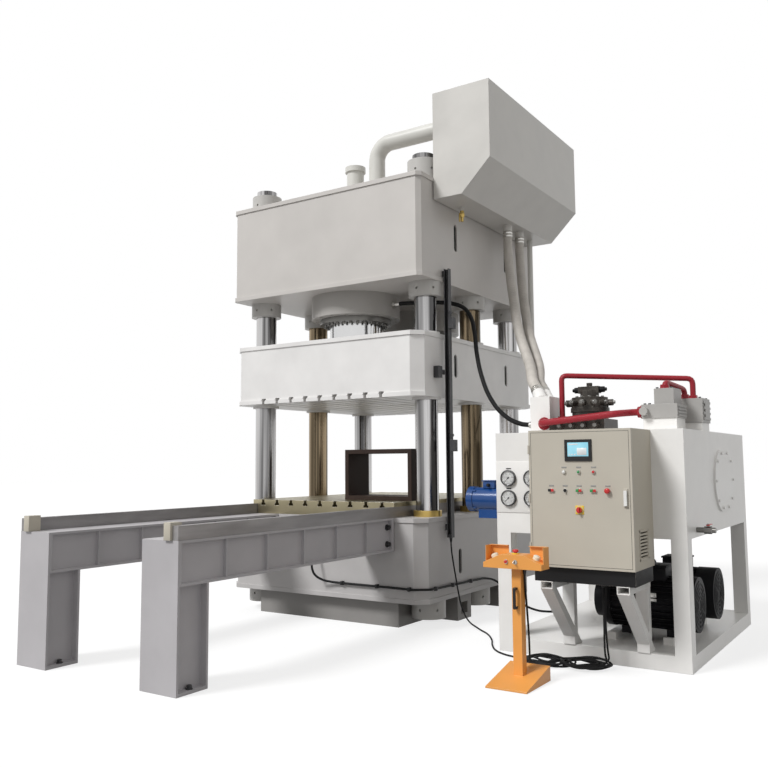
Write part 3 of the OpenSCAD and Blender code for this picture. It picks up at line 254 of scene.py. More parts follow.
cabinet_beige = coat("cabinet_beige", (0.53, 0.49, 0.41), 0.5, cloud_and_reflection=(3.0, 0.03), grain=(700.0, 0.14),
    worn=(0.60, 0.57, 0.50), split=("Z", 0.8198, (0.006, 0.006, 0.0065)), gloss=0.22)
door_beige = coat("door_beige", (0.50, 0.465, 0.395), 0.5, cloud_and_reflection=(3.0, 0.03), grain=(700.0, 0.14),
    worn=(0.60, 0.57, 0.50))
pedestal_orange = coat("pedestal_orange", (0.80, 0.345, 0.075), 0.42, grain=(400.0, 0.1),
    worn=(0.90, 0.58, 0.30), dirt=0.08)
motor_blue = coat("motor_blue", (0.008, 0.058, 0.22), 0.22, worn=(0.07, 0.14, 0.30))
motor_black = coat("motor_black", (0.010, 0.010, 0.0115), 0.5, gloss=0.10, worn=(0.07, 0.07, 0.07),
    grain=(220.0, 0.1))
valve_grey = coat("valve_grey", (0.40, 0.39, 0.375), 0.45, worn=(0.58, 0.58, 0.56), dirt=0.35)
pipe_red = coat("pipe_red", (0.30, 0.013, 0.024), 0.35, worn=(0.42, 0.10, 0.11), gloss=0.3)
print("paints", len(bpy.data.materials))

# %% Bare and plated metals
# The columns' chrome is clouded into strong upright streaks of light and dark that paint reflections.
chrome = coat("column_chrome", (0.33, 0.325, 0.325), 0.18, 1.0, cloud_and_reflection=(1.3, 0.74), grain=(60.0, 0.02),
    edge=0.003, worn=(0.6, 0.59, 0.58), stretch=(9, 9, 0.10), dirt=0.12, sharp=0.10,
    # The middle columns take a darker brown copy of the chrome, which paints the shade and dark reflections
    # deep in the frame.
    split=("Y", 0.5, (0.20, 0.155, 0.10)))
ram_chrome = coat("ram_chrome", (0.66, 0.66, 0.66), 0.14, 1.0, cloud_and_reflection=(1.5, 0.06), grain=(50.0, 0.02),
    edge=0.003, stretch=(2, 2, 0.3))
machined = coat("machined_steel", (0.40, 0.355, 0.235), 0.36, 1.0, cloud_and_reflection=(2.0, 0.12), grain=(90.0, 0.12),
    worn=(0.75, 0.73, 0.68), stretch=(1, 12, 1), dirt=0.3)
rail_steel = coat("rail_steel", (0.29, 0.28, 0.28), 0.45, 0.7, cloud_and_reflection=(3.0, 0.2), grain=(80.0, 0.12),
    worn=(0.45, 0.44, 0.43), stretch=(4, 0.6, 4))
dark_steel = coat("dark_steel", (0.055, 0.055, 0.058), 0.45, 0.6, worn=(0.25, 0.25, 0.25),
    grain=(180.0, 0.12))
gland_steel = coat("gland_steel", (0.17, 0.165, 0.155), 0.38, 0.9, worn=(0.5, 0.5, 0.48), grain=(120.0, 0.1),
    dirt=0.3)
brass = coat("brass", (0.50, 0.36, 0.115), 0.34, 0.9, cloud_and_reflection=(4.0, 0.15), grain=(90.0, 0.1),
    worn=(0.75, 0.6, 0.3))
primer_brown = coat("primer_brown", (0.030, 0.018, 0.014), 0.6, 0.0, gloss=0.2, cloud_and_reflection=(4.0, 0.2),
    grain=(120.0, 0.2), worn=(0.17, 0.12, 0.09), dirt=0.3)
stack_iron = coat("stack_iron", (0.050, 0.044, 0.038), 0.42, 0.3, cloud_and_reflection=(16.0, 0.55), grain=(160.0, 0.2),
    worn=(0.24, 0.22, 0.19), gloss=0.3)
zinc = coat("zinc_plate", (0.55, 0.54, 0.51), 0.32, 1.0, cloud_and_reflection=(20.0, 0.1), grain=(300.0, 0.1), edge=0.001,
    worn=(0.75, 0.74, 0.72))
black_bolt = coat("black_bolt", (0.030, 0.030, 0.032), 0.42, 0.5, cloud_and_reflection=(30.0, 0.2), grain=(300.0, 0.1),
    edge=0.001, worn=(0.2, 0.2, 0.2))
print("metals ready")

# %% Plastics and rubber
def moulded(name, colour, rough=0.38, gloss=0.5):
    return coat(name, colour, rough, 0.0, cloud_and_reflection=(14.0, 0.04), grain=(900.0, 0.06), edge=0.0012,
        worn=shade(colour, 1.35), gloss=gloss)


black_plastic = moulded("black_plastic", (0.018, 0.018, 0.019), gloss=0.25)
ivory_plastic = moulded("ivory_plastic", (0.74, 0.70, 0.58))
white_plastic = moulded("white_plastic", (0.78, 0.78, 0.76))
red_plastic = moulded("red_plastic", (0.55, 0.022, 0.022), 0.3)
green_plastic = moulded("green_plastic", (0.03, 0.26, 0.07), 0.3)
yellow_plastic = moulded("yellow_plastic", (0.80, 0.55, 0.03), 0.35)
black_rubber = coat("black_rubber", (0.012, 0.012, 0.0125), 0.55, gloss=0.15, cloud_and_reflection=(9.0, 0.2),
    grain=(420.0, 0.15), edge=0, dirt=0.15)
hose_grey = coat("hose_grey", (0.52, 0.49, 0.45), 0.5, cloud_and_reflection=(7.0, 0.12), grain=(300.0, 0.12), edge=0,
    dirt=0.35)
print("materials", len(bpy.data.materials))

# %% [markdown]
# ## Hoses and cables
# A hose is a fixed length that hangs between its two ends. The routes are the ones the solids
# follow. Plain hoses and cables are beveled curves. The two return hoses have ribs, so rings of
# alternating size are set along their routes and bridged.

# %% Routes in metres
def metres(route):
    return [Vector(p) / 1000.0 for p in route]


front_return = metres([(1505, 230, 4331.7), (1505, 230, 4240), (1505, 230, 4150), (1540, 190, 3850),
    (1640, 60, 3480), (1826, -230, 3060), (2129, -660, 2642), (2293, -980, 2448), (2368, -1080, 2365),
    (2428, -1160, 2298.6)])
rear_return = metres([(1505, 560, 4331.7), (1505, 560, 4240), (1505, 558, 4150), (1545, 500, 3850),
    (1650, 330, 3480), (1850, -10, 3060), (2150, -480, 2650), (2293, -810, 2448), (2368, -910, 2365),
    (2428, -990, 2298.6)])
front_pressure = metres([(511, -715, 3430), (580, -715, 3430), (650, -712, 3430), (800, -670, 3428),
    (1000, -600, 3420), (1180, -550, 3395), (1320, -530, 3330), (1410, -545, 3210), (1465, -580, 3050),
    (1520, -640, 2800), (1620, -730, 2540), (1800, -880, 2280), (2020, -1020, 2100), (2220, -1122, 2018),
    (2300, -1150, 2005), (2362, -1158, 2001), (2422.7, -1160, 2000)])
rear_pressure = metres([(1447, 1000, 3099.7), (1447, 1000, 3040), (1447, 1000, 2980), (1460, 970, 2800),
    (1520, 860, 2540), (1640, 620, 2320), (1880, 150, 2120), (2150, -350, 2030), (2330, -640, 2005),
    (2440, -820, 2000), (2470, -920, 2000), (2470, -985, 2000), (2470, -1044.7, 2000)])
table_route = metres([(-10, -1400.3, 680), (-10, -1436, 680), (-9, -1474, 672), (-7, -1507, 651),
    (-4, -1528, 618),
    (1, -1536, 580), (10, -1536, 540), (30, -1520, 490), (90, -1475, 440), (180, -1442, 420),
    (300, -1428, 414),
    (400, -1426, 413), (700, -1426, 412), (1000, -1426, 410), (1139, -1425, 408), (1178, -1417.4, 407.5),
    (1211, -1395, 407), (1240, -1366, 406), (1274, -1332, 405), (1296.4, -1299, 404.5), (1304, -1260, 404),
    (1304, -1000, 398), (1304, -650, 392), (1304, -300, 386), (1312, -100, 376), (1355, 60, 330),
    (1450, 180, 200),
    (1600, 236, 70), (1740, 246, 22), (1880, 244, 17), (2000, 240, 32), (2080, 240, 50), (2130, 240, 58),
    (2180, 240, 60), (2227.7, 240, 60)])
sensor_route = metres([(1332, -925, 884.7), (1332, -925, 840), (1333, -924, 790), (1345, -915, 660),
    (1362, -895, 500), (1385, -880, 330), (1430, -890, 180), (1520, -930, 70), (1660, -1000, 22),
    (1850, -1170, 13), (2000, -1380, 10.5), (2110, -1590, 9.5), (2230, -1760, 9.5), (2360, -1855, 9.5),
    (2460, -1893, 9.5), (2540, -1928, 9.5)])
sensor_rise = metres([(3258, -1885, 60), (3262, -1922, 130), (3263, -1932, 180), (3266, -1938, 340),
    (3264, -1934, 520), (3262, -1930, 600), (3262, -1930, 650), (3262, -1930, 699.7)])
print("routes", 6)

# %% A cable as a beveled curve
def finished(obj, body, finish):
    obj.data.materials.clear()
    obj.data.materials.append(finish)
    scene.collection.objects.link(obj)
    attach(obj, body)
    return obj


def cable(name, route, diameter, finish, nodes):
    line = bpy.data.curves.new(name, "CURVE")
    line.dimensions = "3D"
    line.bevel_depth = diameter / 2
    line.bevel_resolution = 3
    line.resolution_u = 6
    line.use_fill_caps = True
    spline = line.splines.new("BEZIER")
    spline.bezier_points.add(len(route) - 1)
    for spot, place in zip(spline.bezier_points, route):
        spot.co = place
        spot.handle_left_type = spot.handle_right_type = "AUTO"
    obj = finished(bpy.data.objects.new(name, line), "frame", finish)
    bpy.context.view_layer.update()
    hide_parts(*nodes)
    return obj


cable("front_pressure_hose", front_pressure, 0.046, black_rubber, ["pressure_hoses"])
cable("rear_pressure_hose", rear_pressure, 0.046, black_rubber, ["pressure_hoses"])
cable("table_feed_hose", table_route, 0.024, black_rubber, ["table_hose"])

# %% [markdown]
# Two leads share a loose heap of turns on the floor below the cabinet: the one from the press's
# switches and the long one of the two-hand stand. Each runs round one centre, crosses over to the
# other and turns there the other way, as a figure of eight, and then climbs into the cabinet.

# %% The leads with their heap of turns
def turns_on_floor(heart, start, sweep, reach, low, high, mood):
    """Points of a few loose turns about a centre that wanders, each turn of its own size."""
    count = max(2, int(abs(sweep) / 22))
    spots = []
    for i in range(count + 1):
        share = i / count
        angle = radians(start + sweep * share)
        turn = sweep * share / 360
        size = reach * (1.0 + 0.20 * sin(2.1 * turn + mood) + 0.09 * sin(5.3 * turn + 2 * mood))
        drift = Vector((0.045 * sin(1.7 * turn + mood), 0.022 * cos(2.3 * turn + mood), 0))
        lift = low + (high - low) * share + 0.007 * (1 + sin(3 * angle + mood))
        spots.append(Vector((heart[0] + size * cos(angle), heart[1] + 0.8 * size * sin(angle), lift)) + drift)
    return spots


near_heap, far_heap = (2.745, -1.905), (3.075, -1.905)
sensor_path = sensor_route + turns_on_floor(near_heap, 232, 840, 0.175, 0.0095, 0.016, 0.4) \
    + turns_on_floor(far_heap, 165, -830, 0.170, 0.014, 0.024, 1.3) + sensor_rise
cable("sensor_lead", sensor_path, 0.016, black_rubber, ["sensor_cable", "cable_coil"])
down = metres([(2890, -2600, 853.7), (2890, -2600, 810), (2890, -2599, 760), (2884, -2560, 560),
    (2860, -2480, 330), (2815, -2370, 120), (2782, -2290, 24), (2775, -2210, 9.5), (2790, -2140, 9.5)])
up = metres([(3256, -1826, 70), (3262, -1852, 130), (3261, -1862, 180), (3256, -1868, 340),
    (3258, -1864, 520), (3262, -1860, 600), (3262, -1860, 650), (3262, -1860, 699.7)])
stand_path = down + turns_on_floor(near_heap, -52, 1460, 0.150, 0.014, 0.034, 2.2) \
    + turns_on_floor(far_heap, 160, -1540, 0.160, 0.026, 0.040, 3.6) + up
cable("stand_cable", stand_path, 0.016, black_rubber, ["pedestal_cable", "cable_coil"])

# %% Ribbed return hoses
def eased(route, steps):
    """The smooth line through a route's points."""
    line = []
    for i in range(len(route) - 1):
        a, b, c, d = route[max(i - 1, 0)], route[i], route[i + 1], route[min(i + 2, len(route) - 1)]
        for k in range(steps):
            u = k / steps
            square, cube = 2 * a - 5 * b + 4 * c - d, 3 * b - a - 3 * c + d
            line.append(0.5 * (2 * b + (c - a) * u + square * u * u + cube * u ** 3))
    return line + [route[-1]]


def even(line, pitch):
    """Points one pitch apart along a line, each with its direction."""
    spots, carry = [], 0.0
    for a, b in zip(line, line[1:]):
        length = (b - a).length
        while carry < length:
            spots.append((a.lerp(b, carry / length), (b - a).normalized()))
            carry += pitch
        carry -= length
    return spots


def ribbed_hose(name, route, diameter, pitch):
    spots = even(eased(route, 16), pitch / 4)
    bm = bmesh.new()
    last = None
    for i, (place, along) in enumerate(spots):
        radius = diameter / 2 * (1.0 if i % 4 in (1, 2) else 0.93)
        lie = Matrix.Translation(place) @ along.to_track_quat("Z", "Y").to_matrix().to_4x4()
        ring = bmesh.ops.create_circle(bm, segments=18, radius=radius, matrix=lie)["verts"]
        edges = list({e for v in ring for e in v.link_edges})
        if last:
            bmesh.ops.bridge_loops(bm, edges=last + edges)
        last = edges
    bmesh.ops.holes_fill(bm, edges=[e for e in bm.edges if e.is_boundary])
    bmesh.ops.recalc_face_normals(bm, faces=bm.faces)
    for face in bm.faces:
        face.smooth = True
    mesh = bpy.data.meshes.new(name)
    bm.to_mesh(mesh)
    bm.free()
    obj = finished(bpy.data.objects.new(name, mesh), "frame", hose_grey)
    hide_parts("return_hoses")
    print(name, "has", len(spots), "rings")


ribbed_hose("front_return_hose", front_return, 0.108, 0.026)
ribbed_hose("rear_return_hose", rear_return, 0.108, 0.026)

# %% [markdown]
# ## Finishes on the CAD nodes
# Each node keeps its shape and takes the finish of its real counterpart.

# %% Give every rigid node its finish
finish_of = {
    grey_paint: "crown", bed_grey: "bed", shaded_base_grey: "bed_base", cylinder_grey: "main_cylinders",
    slide_white: "slide slide_bushes", tank_grey: "prefill_tank", pipe_grey: "prefill_pipes",
    chrome: "columns", ram_chrome: "rams table_rod", nut_paint: "column_nuts", brass: "column_rings",
    gland_steel: "gland_rings drain_valve key_switch", machined: "bolster", rail_steel: "rails",
    girder_grey: "girders legs",
    dark_steel: "striker scale_bar table_cylinder", primer_brown: "spacer_frame",
    unit_white: "power_frame oil_tank manhole_cover",
    stack_iron: "valve_stack", valve_grey: "valve_blocks", pipe_red: "red_pipes", motor_black: "motors",
    motor_blue: "circulation_motor",
    cabinet_beige: "cabinet", door_beige: "cabinet_door", pedestal_orange: "pedestal",
    ivory_plastic: "palm_left palm_right",
    red_plastic: "drain_lever stop_mushroom main_switch pedestal_estop pedestal_button pump_button_a",
    green_plastic: "pump_button_b pump_button_c",
    black_plastic: "screen gauges mode_selector needle_a needle_b needle_c needle_d",
    white_plastic: "door_handle pilot_lamps"}
for finish, names in finish_of.items():
    for name in names.split():
        nodes_of[name].data.materials.clear()
        nodes_of[name].data.materials.append(finish)
print("finished nodes", sum(len(v.split()) for v in finish_of.values()))

# %% [markdown]
# ## Tools for the small pieces
# Round pieces are turned: half an outline is spun about an axis, as on a lathe. Square ones start
# as a cube whose edges are beveled. Screw heads are six-sided cones. Each piece is built lying on
# its own axis and then laid in its place, so that its object stays at the origin.

# %% Turned shapes, blocks and screw heads
FRONT = Matrix.Rotation(radians(90), 4, "X")
RIGHT = Matrix.Rotation(radians(90), 4, "Y")
UP = Matrix.Identity(4)


def at(x, y, z, lie=UP):
    """A place with a turn: where a piece lies once it is made."""
    return Matrix.Translation((x, y, z)) @ lie


def turned(bm, outline, lie, steps=28, closed=False):
    """Half an outline of (radius, height) pairs, spun about its own axis and laid in place."""
    before = set(bm.verts)
    spots = [bm.verts.new((r, 0, z)) for r, z in outline]
    pairs = list(zip(spots, spots[1:])) + ([(spots[-1], spots[0])] if closed else [])
    edges = [bm.edges.new(pair) for pair in pairs]
    bmesh.ops.spin(bm, geom=spots + edges, axis=(0, 0, 1), cent=(0, 0, 0), angle=2 * pi, steps=steps,
        use_merge=True)
    fresh = [v for v in bm.verts if v not in before]
    bmesh.ops.remove_doubles(bm, verts=fresh, dist=1e-6)
    fresh = [v for v in bm.verts if v not in before]
    bmesh.ops.transform(bm, matrix=lie, verts=fresh)


def block(bm, low, high, soft=0.002, lie=UP, segments=2):
    """A cube stretched between two corners, with soft edges."""
    low, high = Vector(low), Vector(high)
    made = bmesh.ops.create_cube(bm, size=1.0)["verts"]
    bmesh.ops.scale(bm, vec=high - low, verts=made)
    bmesh.ops.translate(bm, vec=(low + high) / 2, verts=made)
    bmesh.ops.transform(bm, matrix=lie, verts=made)
    if soft:
        edges = list({e for v in made for e in v.link_edges})
        bmesh.ops.bevel(bm, geom=edges, offset=soft, affect="EDGES", segments=segments, profile=0.5,
            material=-1)


def screw_head(bm, lie, across, height, washer=0.0):
    """A six-sided head, on a round washer where one is given."""
    if washer:
        bmesh.ops.create_cone(bm, cap_ends=True, segments=16, radius1=washer / 2, radius2=washer / 2 * 0.97,
            depth=height * 0.3, matrix=lie @ Matrix.Translation((0, 0, height * 0.15)))
        lie = lie @ Matrix.Translation((0, 0, height * 0.3))
    bmesh.ops.create_cone(bm, cap_ends=True, segments=6, radius1=across * 0.577, radius2=across * 0.55,
        depth=height, matrix=lie @ Matrix.Translation((0, 0, height / 2)))


def piece(name, bm, body, finish):
    """A mesh object from a bmesh: rounded faces shade smooth, sharp edges stay sharp."""
    bmesh.ops.recalc_face_normals(bm, faces=bm.faces)
    for face in bm.faces:
        face.smooth = True
    for edge in bm.edges:
        edge.smooth = len(edge.link_faces) == 2 and edge.calc_face_angle(0.0) < radians(38)
    mesh = bpy.data.meshes.new(name)
    bm.to_mesh(mesh)
    bm.free()
    obj = finished(bpy.data.objects.new(name, mesh), body, finish)
    print(name, len(mesh.polygons), "faces")
    return obj

# %% [markdown]
# ## Pressure gauges
# Four round gauges sit on the power unit's white panel. The solids give the cases and needles. A
# dark rim, a pale dial with ticks and plain numbers, and a thin glass make them readable. A thin
# plate with bare label strips lies behind them.

# %% Rims and dials
gauge_spots = [(2.352 + i * 0.220, 1.510 - k * 0.176) for i in (0, 1) for k in (0, 1)]
panel_y = -1.688
rim_outline = [(0.0613, 0.0225), (0.0613, 0.0315), (0.0640, 0.0340), (0.0685, 0.0340),
    (0.0714, 0.0305), (0.0714, 0.0005), (0.0660, 0.0005), (0.0660, 0.0225)]
rims, dials, ticks = bmesh.new(), bmesh.new(), bmesh.new()
for x, z in gauge_spots:
    lie = at(x, panel_y, z, FRONT)
    turned(rims, rim_outline, lie, 40, closed=True)
    turned(dials, [(0.0, 0.02205), (0.0612, 0.02205), (0.0612, 0.0212), (0.0, 0.0212)], lie, 40)
    for i in range(41):
        turn = Matrix.Rotation(radians(225 - i * 270 / 40), 4, "Z")
        inner, half = (0.051, 0.0006) if i % 8 else (0.047, 0.0011)
        block(ticks, (inner, -half, 0.0219), (0.056, half, 0.0221), 0, lie @ turn)
piece("gauge_rims", rims, "frame", dark_steel)
dial_white = moulded("dial_white", (0.60, 0.60, 0.59), 0.5, 0.2)
dial_ink = moulded("dial_ink", (0.02, 0.02, 0.022), 0.5, 0.2)
piece("gauge_dials", dials, "frame", dial_white)
piece("gauge_ticks", ticks, "frame", dial_ink)

# %% Plate behind the gauges
plate, strips = bmesh.new(), bmesh.new()
block(plate, (2.229, panel_y - 0.006, 1.207), (2.700, panel_y + 0.002, 1.655), 0.002)
piece("gauge_plate", plate, "frame", unit_white)
for x, z in gauge_spots:
    block(strips, (x - 0.024, panel_y - 0.0072, z + 0.078), (x + 0.024, panel_y - 0.005, z + 0.088), 0.0004)
piece("gauge_labels", strips, "frame", dial_ink)

# %% Plain numbers on the dials
def lettered(words, size):
    """A flat mesh of some digits."""
    text = bpy.data.curves.new("words", "FONT")
    text.body = words
    text.size = size
    text.align_x = "CENTER"
    text.align_y = "CENTER"
    holder = bpy.data.objects.new("words", text)
    scene.collection.objects.link(holder)
    bpy.context.view_layer.update()
    mesh = bpy.data.meshes.new_from_object(holder.evaluated_get(bpy.context.evaluated_depsgraph_get()))
    bpy.data.objects.remove(holder)
    bpy.data.curves.remove(text)
    return mesh


numbers = bmesh.new()
for i in range(6):
    digits = lettered(str(i * 5), 0.013)
    angle = radians(225 - i * 54)
    for x, z in gauge_spots:
        lie = at(x, panel_y, z, FRONT) @ Matrix.Translation((0.038 * cos(angle), 0.038 * sin(angle), 0.02212))
        before = set(numbers.verts)
        numbers.from_mesh(digits)
        bmesh.ops.transform(numbers, matrix=lie, verts=[v for v in numbers.verts if v not in before])
mesh = bpy.data.meshes.new("gauge_numbers")
numbers.to_mesh(mesh)
numbers.free()
finished(bpy.data.objects.new("gauge_numbers", mesh), "frame", dial_ink)
print("numbers", len(mesh.polygons))

# %% Glass over the dials
clear = bpy.data.materials.new("gauge_glass")
clear.use_nodes = True
glass = clear.node_tree.nodes["Principled BSDF"]
glass.inputs["Base Color"].default_value = (1, 1, 1, 1)
glass.inputs["Transmission Weight"].default_value = 1.0
glass.inputs["Roughness"].default_value = 0.02
glass.inputs["IOR"].default_value = 1.12
panes = bmesh.new()
for x, z in gauge_spots:
    turned(panes, [(0.0, 0.0300), (0.0612, 0.0300), (0.0612, 0.0292), (0.0, 0.0292)],
        at(x, panel_y, z, FRONT), 40)
piece("gauge_panes", panes, "frame", clear)

# %% [markdown]
# ## Controls on the cabinet door
# The door carries a touch screen, three lamps, a row of buttons and a red main switch on a yellow
# plate. Each moving head rides on its own body, so that it travels with its joint.

# %% Touch screen
door_y = -2.200
panel_x = 3.190
glow = bpy.data.materials.new("screen_glow")
glow.use_nodes = True
lit = glow.node_tree.nodes["Principled BSDF"]
lit.inputs["Roughness"].default_value = 0.12
lit.inputs["Emission Strength"].default_value = 0.35
where = glow.node_tree.nodes.new("ShaderNodeTexCoord").outputs["Object"]
haze = noise(glow.node_tree, where, 9.0, 1.0)
sky = mixed(glow.node_tree, haze, (0.17, 0.46, 0.60), (0.34, 0.64, 0.74))
glow.node_tree.links.new(sky, lit.inputs["Base Color"])
glow.node_tree.links.new(sky, lit.inputs["Emission Color"])
bm = bmesh.new()
block(bm, (3.1045, door_y - 0.0085, 1.6925), (3.2755, door_y - 0.0068, 1.8025), 0.0004)
piece("screen_picture", bm, "door", glow)
cards = bmesh.new()
block(cards, (3.182, door_y - 0.0089, 1.702), (3.260, door_y - 0.0084, 1.758), 0.0002)
for x in (3.114, 3.136, 3.158):
    block(cards, (x, door_y - 0.0089, 1.702), (x + 0.014, door_y - 0.0084, 1.712), 0.0002)
block(cards, (3.114, door_y - 0.0089, 1.782), (3.190, door_y - 0.0084, 1.792), 0.0002)
piece("screen_cards", cards, "door", moulded("screen_card_white", (0.72, 0.76, 0.78), 0.25))

# %% Lamps with domed lenses
lamp_pitch, lamp_z = 0.121, 1.570
lens_outline = [(0.0, 0.0215), (0.005, 0.0211), (0.0090, 0.0194), (0.0112, 0.0165), (0.0118, 0.013),
    (0.0118, 0.0120), (0.0, 0.0120)]
lamp_ring = [(0.0122, 0.0), (0.0122, 0.0138), (0.0140, 0.0138), (0.0158, 0.0105), (0.0166, 0.0062),
    (0.0166, 0.0)]
rings = bmesh.new()
for offset, finish, name in ((-lamp_pitch, white_plastic, "white_lens"), (0.0, green_plastic, "green_lens"),
        (lamp_pitch, red_plastic, "red_lens")):
    lie = at(panel_x + offset, door_y, lamp_z, FRONT)
    bm = bmesh.new()
    turned(bm, lens_outline, lie, 24)
    piece(name, bm, "door", finish)
    turned(rings, lamp_ring, lie, 28, closed=True)
piece("lamp_rings", rings, "door", zinc)

# %% Rings of the row of buttons
row_z, button_pitch = 1.425, 0.115
button_ring = [(0.0121, 0.0), (0.0121, 0.0068), (0.0150, 0.0074), (0.0164, 0.0064), (0.0168, 0.0)]
rings = bmesh.new()
for i in range(-2, 3):
    turned(rings, button_ring, at(panel_x + i * button_pitch, door_y, row_z, FRONT), 28, closed=True)
piece("button_rings", rings, "door", zinc)

# %% Twin buttons
half_width, half_height = 0.0118, 0.0108
head_front, head_back = door_y - 0.0175, door_y - 0.0129
for name, i, start_finish in (("pump_button_a", -2, black_plastic), ("pump_button_b", 0, green_plastic),
        ("pump_button_c", 1, green_plastic)):
    x = panel_x + i * button_pitch
    for part, finish, shift in (("start", start_finish, -0.0122), ("stop", red_plastic, 0.0122)):
        bm = bmesh.new()
        block(bm, (x + shift - half_width, head_front, row_z - half_height),
            (x + shift + half_width, head_back, row_z + half_height), 0.0020)
        piece(name + "_" + part, bm, name, finish)

# %% Stop mushroom and selector grip
mushroom = [(0.0, 0.0402), (0.010, 0.0395), (0.0172, 0.0368), (0.0205, 0.0330), (0.0214, 0.0290),
    (0.0214, 0.0246), (0.0, 0.0246)]
bm = bmesh.new()
turned(bm, mushroom, at(panel_x + 2 * button_pitch, door_y + 0.0005, row_z, FRONT), 32)
piece("mushroom_head", bm, "stop_mushroom", red_plastic)
selector_x = panel_x - button_pitch
bm = bmesh.new()
block(bm, (selector_x - 0.0046, door_y - 0.0260, row_z - 0.0116),
    (selector_x + 0.0046, door_y - 0.0130, row_z + 0.0116), 0.0012)
piece("selector_grip", bm, "mode_selector", black_plastic)

# %% Main switch on its yellow plate
switch_z = 1.274
plate_half, grip_half = 0.034, 0.0226
lie = at(panel_x, door_y, switch_z, FRONT)
bm = bmesh.new()
block(bm, (panel_x - plate_half, door_y - 0.0040, switch_z - plate_half),
    (panel_x + plate_half, door_y, switch_z + plate_half), 0.0015)
turned(bm, [(0.0122, 0.0035), (0.0122, 0.0072), (0.0272, 0.0070), (0.0278, 0.0035)], lie, 32, closed=True)
piece("switch_plate", bm, "door", yellow_plastic)
bm = bmesh.new()
turned(bm, [(0.0, 0.0232), (0.0190, 0.0232), (0.0218, 0.0205), (0.0224, 0.0135), (0.0, 0.0135)], lie, 32)
block(bm, (panel_x - 0.0078, door_y - 0.0380, switch_z - grip_half),
    (panel_x + 0.0078, door_y - 0.0200, switch_z + grip_half), 0.0022)
piece("switch_knob", bm, "main_switch", red_plastic)

# %% Bare label strips above the controls
label_metal = coat("label_metal", (0.27, 0.265, 0.25), 0.45, 0.3, cloud_and_reflection=(40, 0.05), grain=(600.0, 0.06),
    edge=0.0005, worn=(0.4, 0.4, 0.4))
label_half, label_deep = 0.021, 0.0012
bm = bmesh.new()
for x, low, high in [(panel_x + i * button_pitch, row_z + 0.030, row_z + 0.043) for i in range(-2, 3)] \
        + [(panel_x + i * lamp_pitch, 1.600, 1.613) for i in (-1, 0, 1)]:
    block(bm, (x - label_half, door_y - label_deep, low), (x + label_half, door_y, high), 0.0004)
piece("label_strips", bm, "door", label_metal)

# %% [markdown]
# ## Hose ends and clips
# A rubber hose is held by a bright band at a plain stub, and by a pressed sleeve and a six-sided
# nut at a screwed end. The thin hose along the bed hangs in small black clips. They are turned
# about the hose's own direction, so each one sits square on it.

# %% Bands on the return hoses
def along(point, direction):
    """A place whose own axis points along a hose or pipe."""
    turn = Vector(direction).to_track_quat("Z", "Y").to_matrix().to_4x4()
    return Matrix.Translation(point) @ turn


band_outline = [(0.0530, -0.010), (0.0570, -0.010), (0.0580, -0.008), (0.0580, 0.008), (0.0570, 0.010),
    (0.0530, 0.010)]
bands = bmesh.new()
for route in (front_return, rear_return):
    for tip, inner in ((route[0], route[1]), (route[-1], route[-2])):
        way = (inner - tip).normalized()
        for reach in (0.022, 0.058):
            lie = along(tip + way * reach, way)
            turned(bands, band_outline, lie, 36, closed=True)
            block(bands, (-0.014, -0.070, -0.008), (0.014, -0.056, 0.008), 0.002, lie)
piece("hose_bands", bands, "frame", zinc)

# %% Sleeves and nuts of the pressure hoses
thick_sleeve = [(0.0225, 0.030), (0.0265, 0.030), (0.0310, 0.034), (0.0310, 0.088), (0.0285, 0.094),
    (0.0225, 0.094)]
thin_sleeve = [(0.0118, 0.020), (0.0145, 0.020), (0.0165, 0.023), (0.0165, 0.052), (0.0150, 0.055),
    (0.0118, 0.055)]
sleeves = bmesh.new()
for route in (front_pressure, rear_pressure):
    for tip, inner in ((route[0], route[1]), (route[-1], route[-2])):
        lie = along(tip, inner - tip)
        screw_head(sleeves, lie, 0.064, 0.030)
        turned(sleeves, thick_sleeve, lie, 24, closed=True)
        for ring in range(4):
            foot = ring * 0.012
            turned(sleeves, [(0.0308, 0.042 + foot), (0.0318, 0.044 + foot), (0.0318, 0.048 + foot),
                (0.0308, 0.050 + foot)], lie, 24)
for tip, inner in ((table_route[0], table_route[1]), (table_route[-1], table_route[-2])):
    lie = along(tip, inner - tip)
    screw_head(sleeves, lie, 0.036, 0.020)
    turned(sleeves, thin_sleeve, lie, 20, closed=True)
piece("hose_sleeves", sleeves, "frame", zinc)

# %% Tapered glands where the leads enter
gland_outline = [(0.0078, 0.010), (0.0140, 0.010), (0.0150, 0.014), (0.0140, 0.022), (0.0100, 0.048),
    (0.0078, 0.050)]
glands = bmesh.new()
for tip, inner in ((down[0], down[1]), (up[-1], up[-2]), (sensor_route[0], sensor_route[1]),
        (sensor_rise[-1], sensor_rise[-2])):
    lie = along(tip, inner - tip)
    screw_head(glands, lie, 0.030, 0.010)
    turned(glands, gland_outline, lie, 20, closed=True)
piece("lead_glands", glands, "frame", black_plastic)

# %% Clips of the table hose
clips = bmesh.new()
for x, z in ((0.312, 0.4138), (0.745, 0.4118), (1.130, 0.4085)):
    block(clips, (x - 0.014, -1.4420, z - 0.020), (x + 0.014, -1.3995, z + 0.020), 0.004)
    screw_head(clips, at(x, -1.4415, z, FRONT), 0.013, 0.006)
for y in (-1.20, -0.85, -0.45):
    z = 0.398 + (y + 1.0) * -0.0171
    block(clips, (1.2875, y - 0.014, z - 0.020), (1.3205, y + 0.014, z + 0.020), 0.004)
piece("hose_clips", clips, "frame", black_plastic)

# %% [markdown]
# ## Bolts of the outrigger
# The two girders are bolted to the bed and to the floor. Real bolts would be bought in, so a
# six-sided head on a washer is enough. They stand in the recess beside each web.

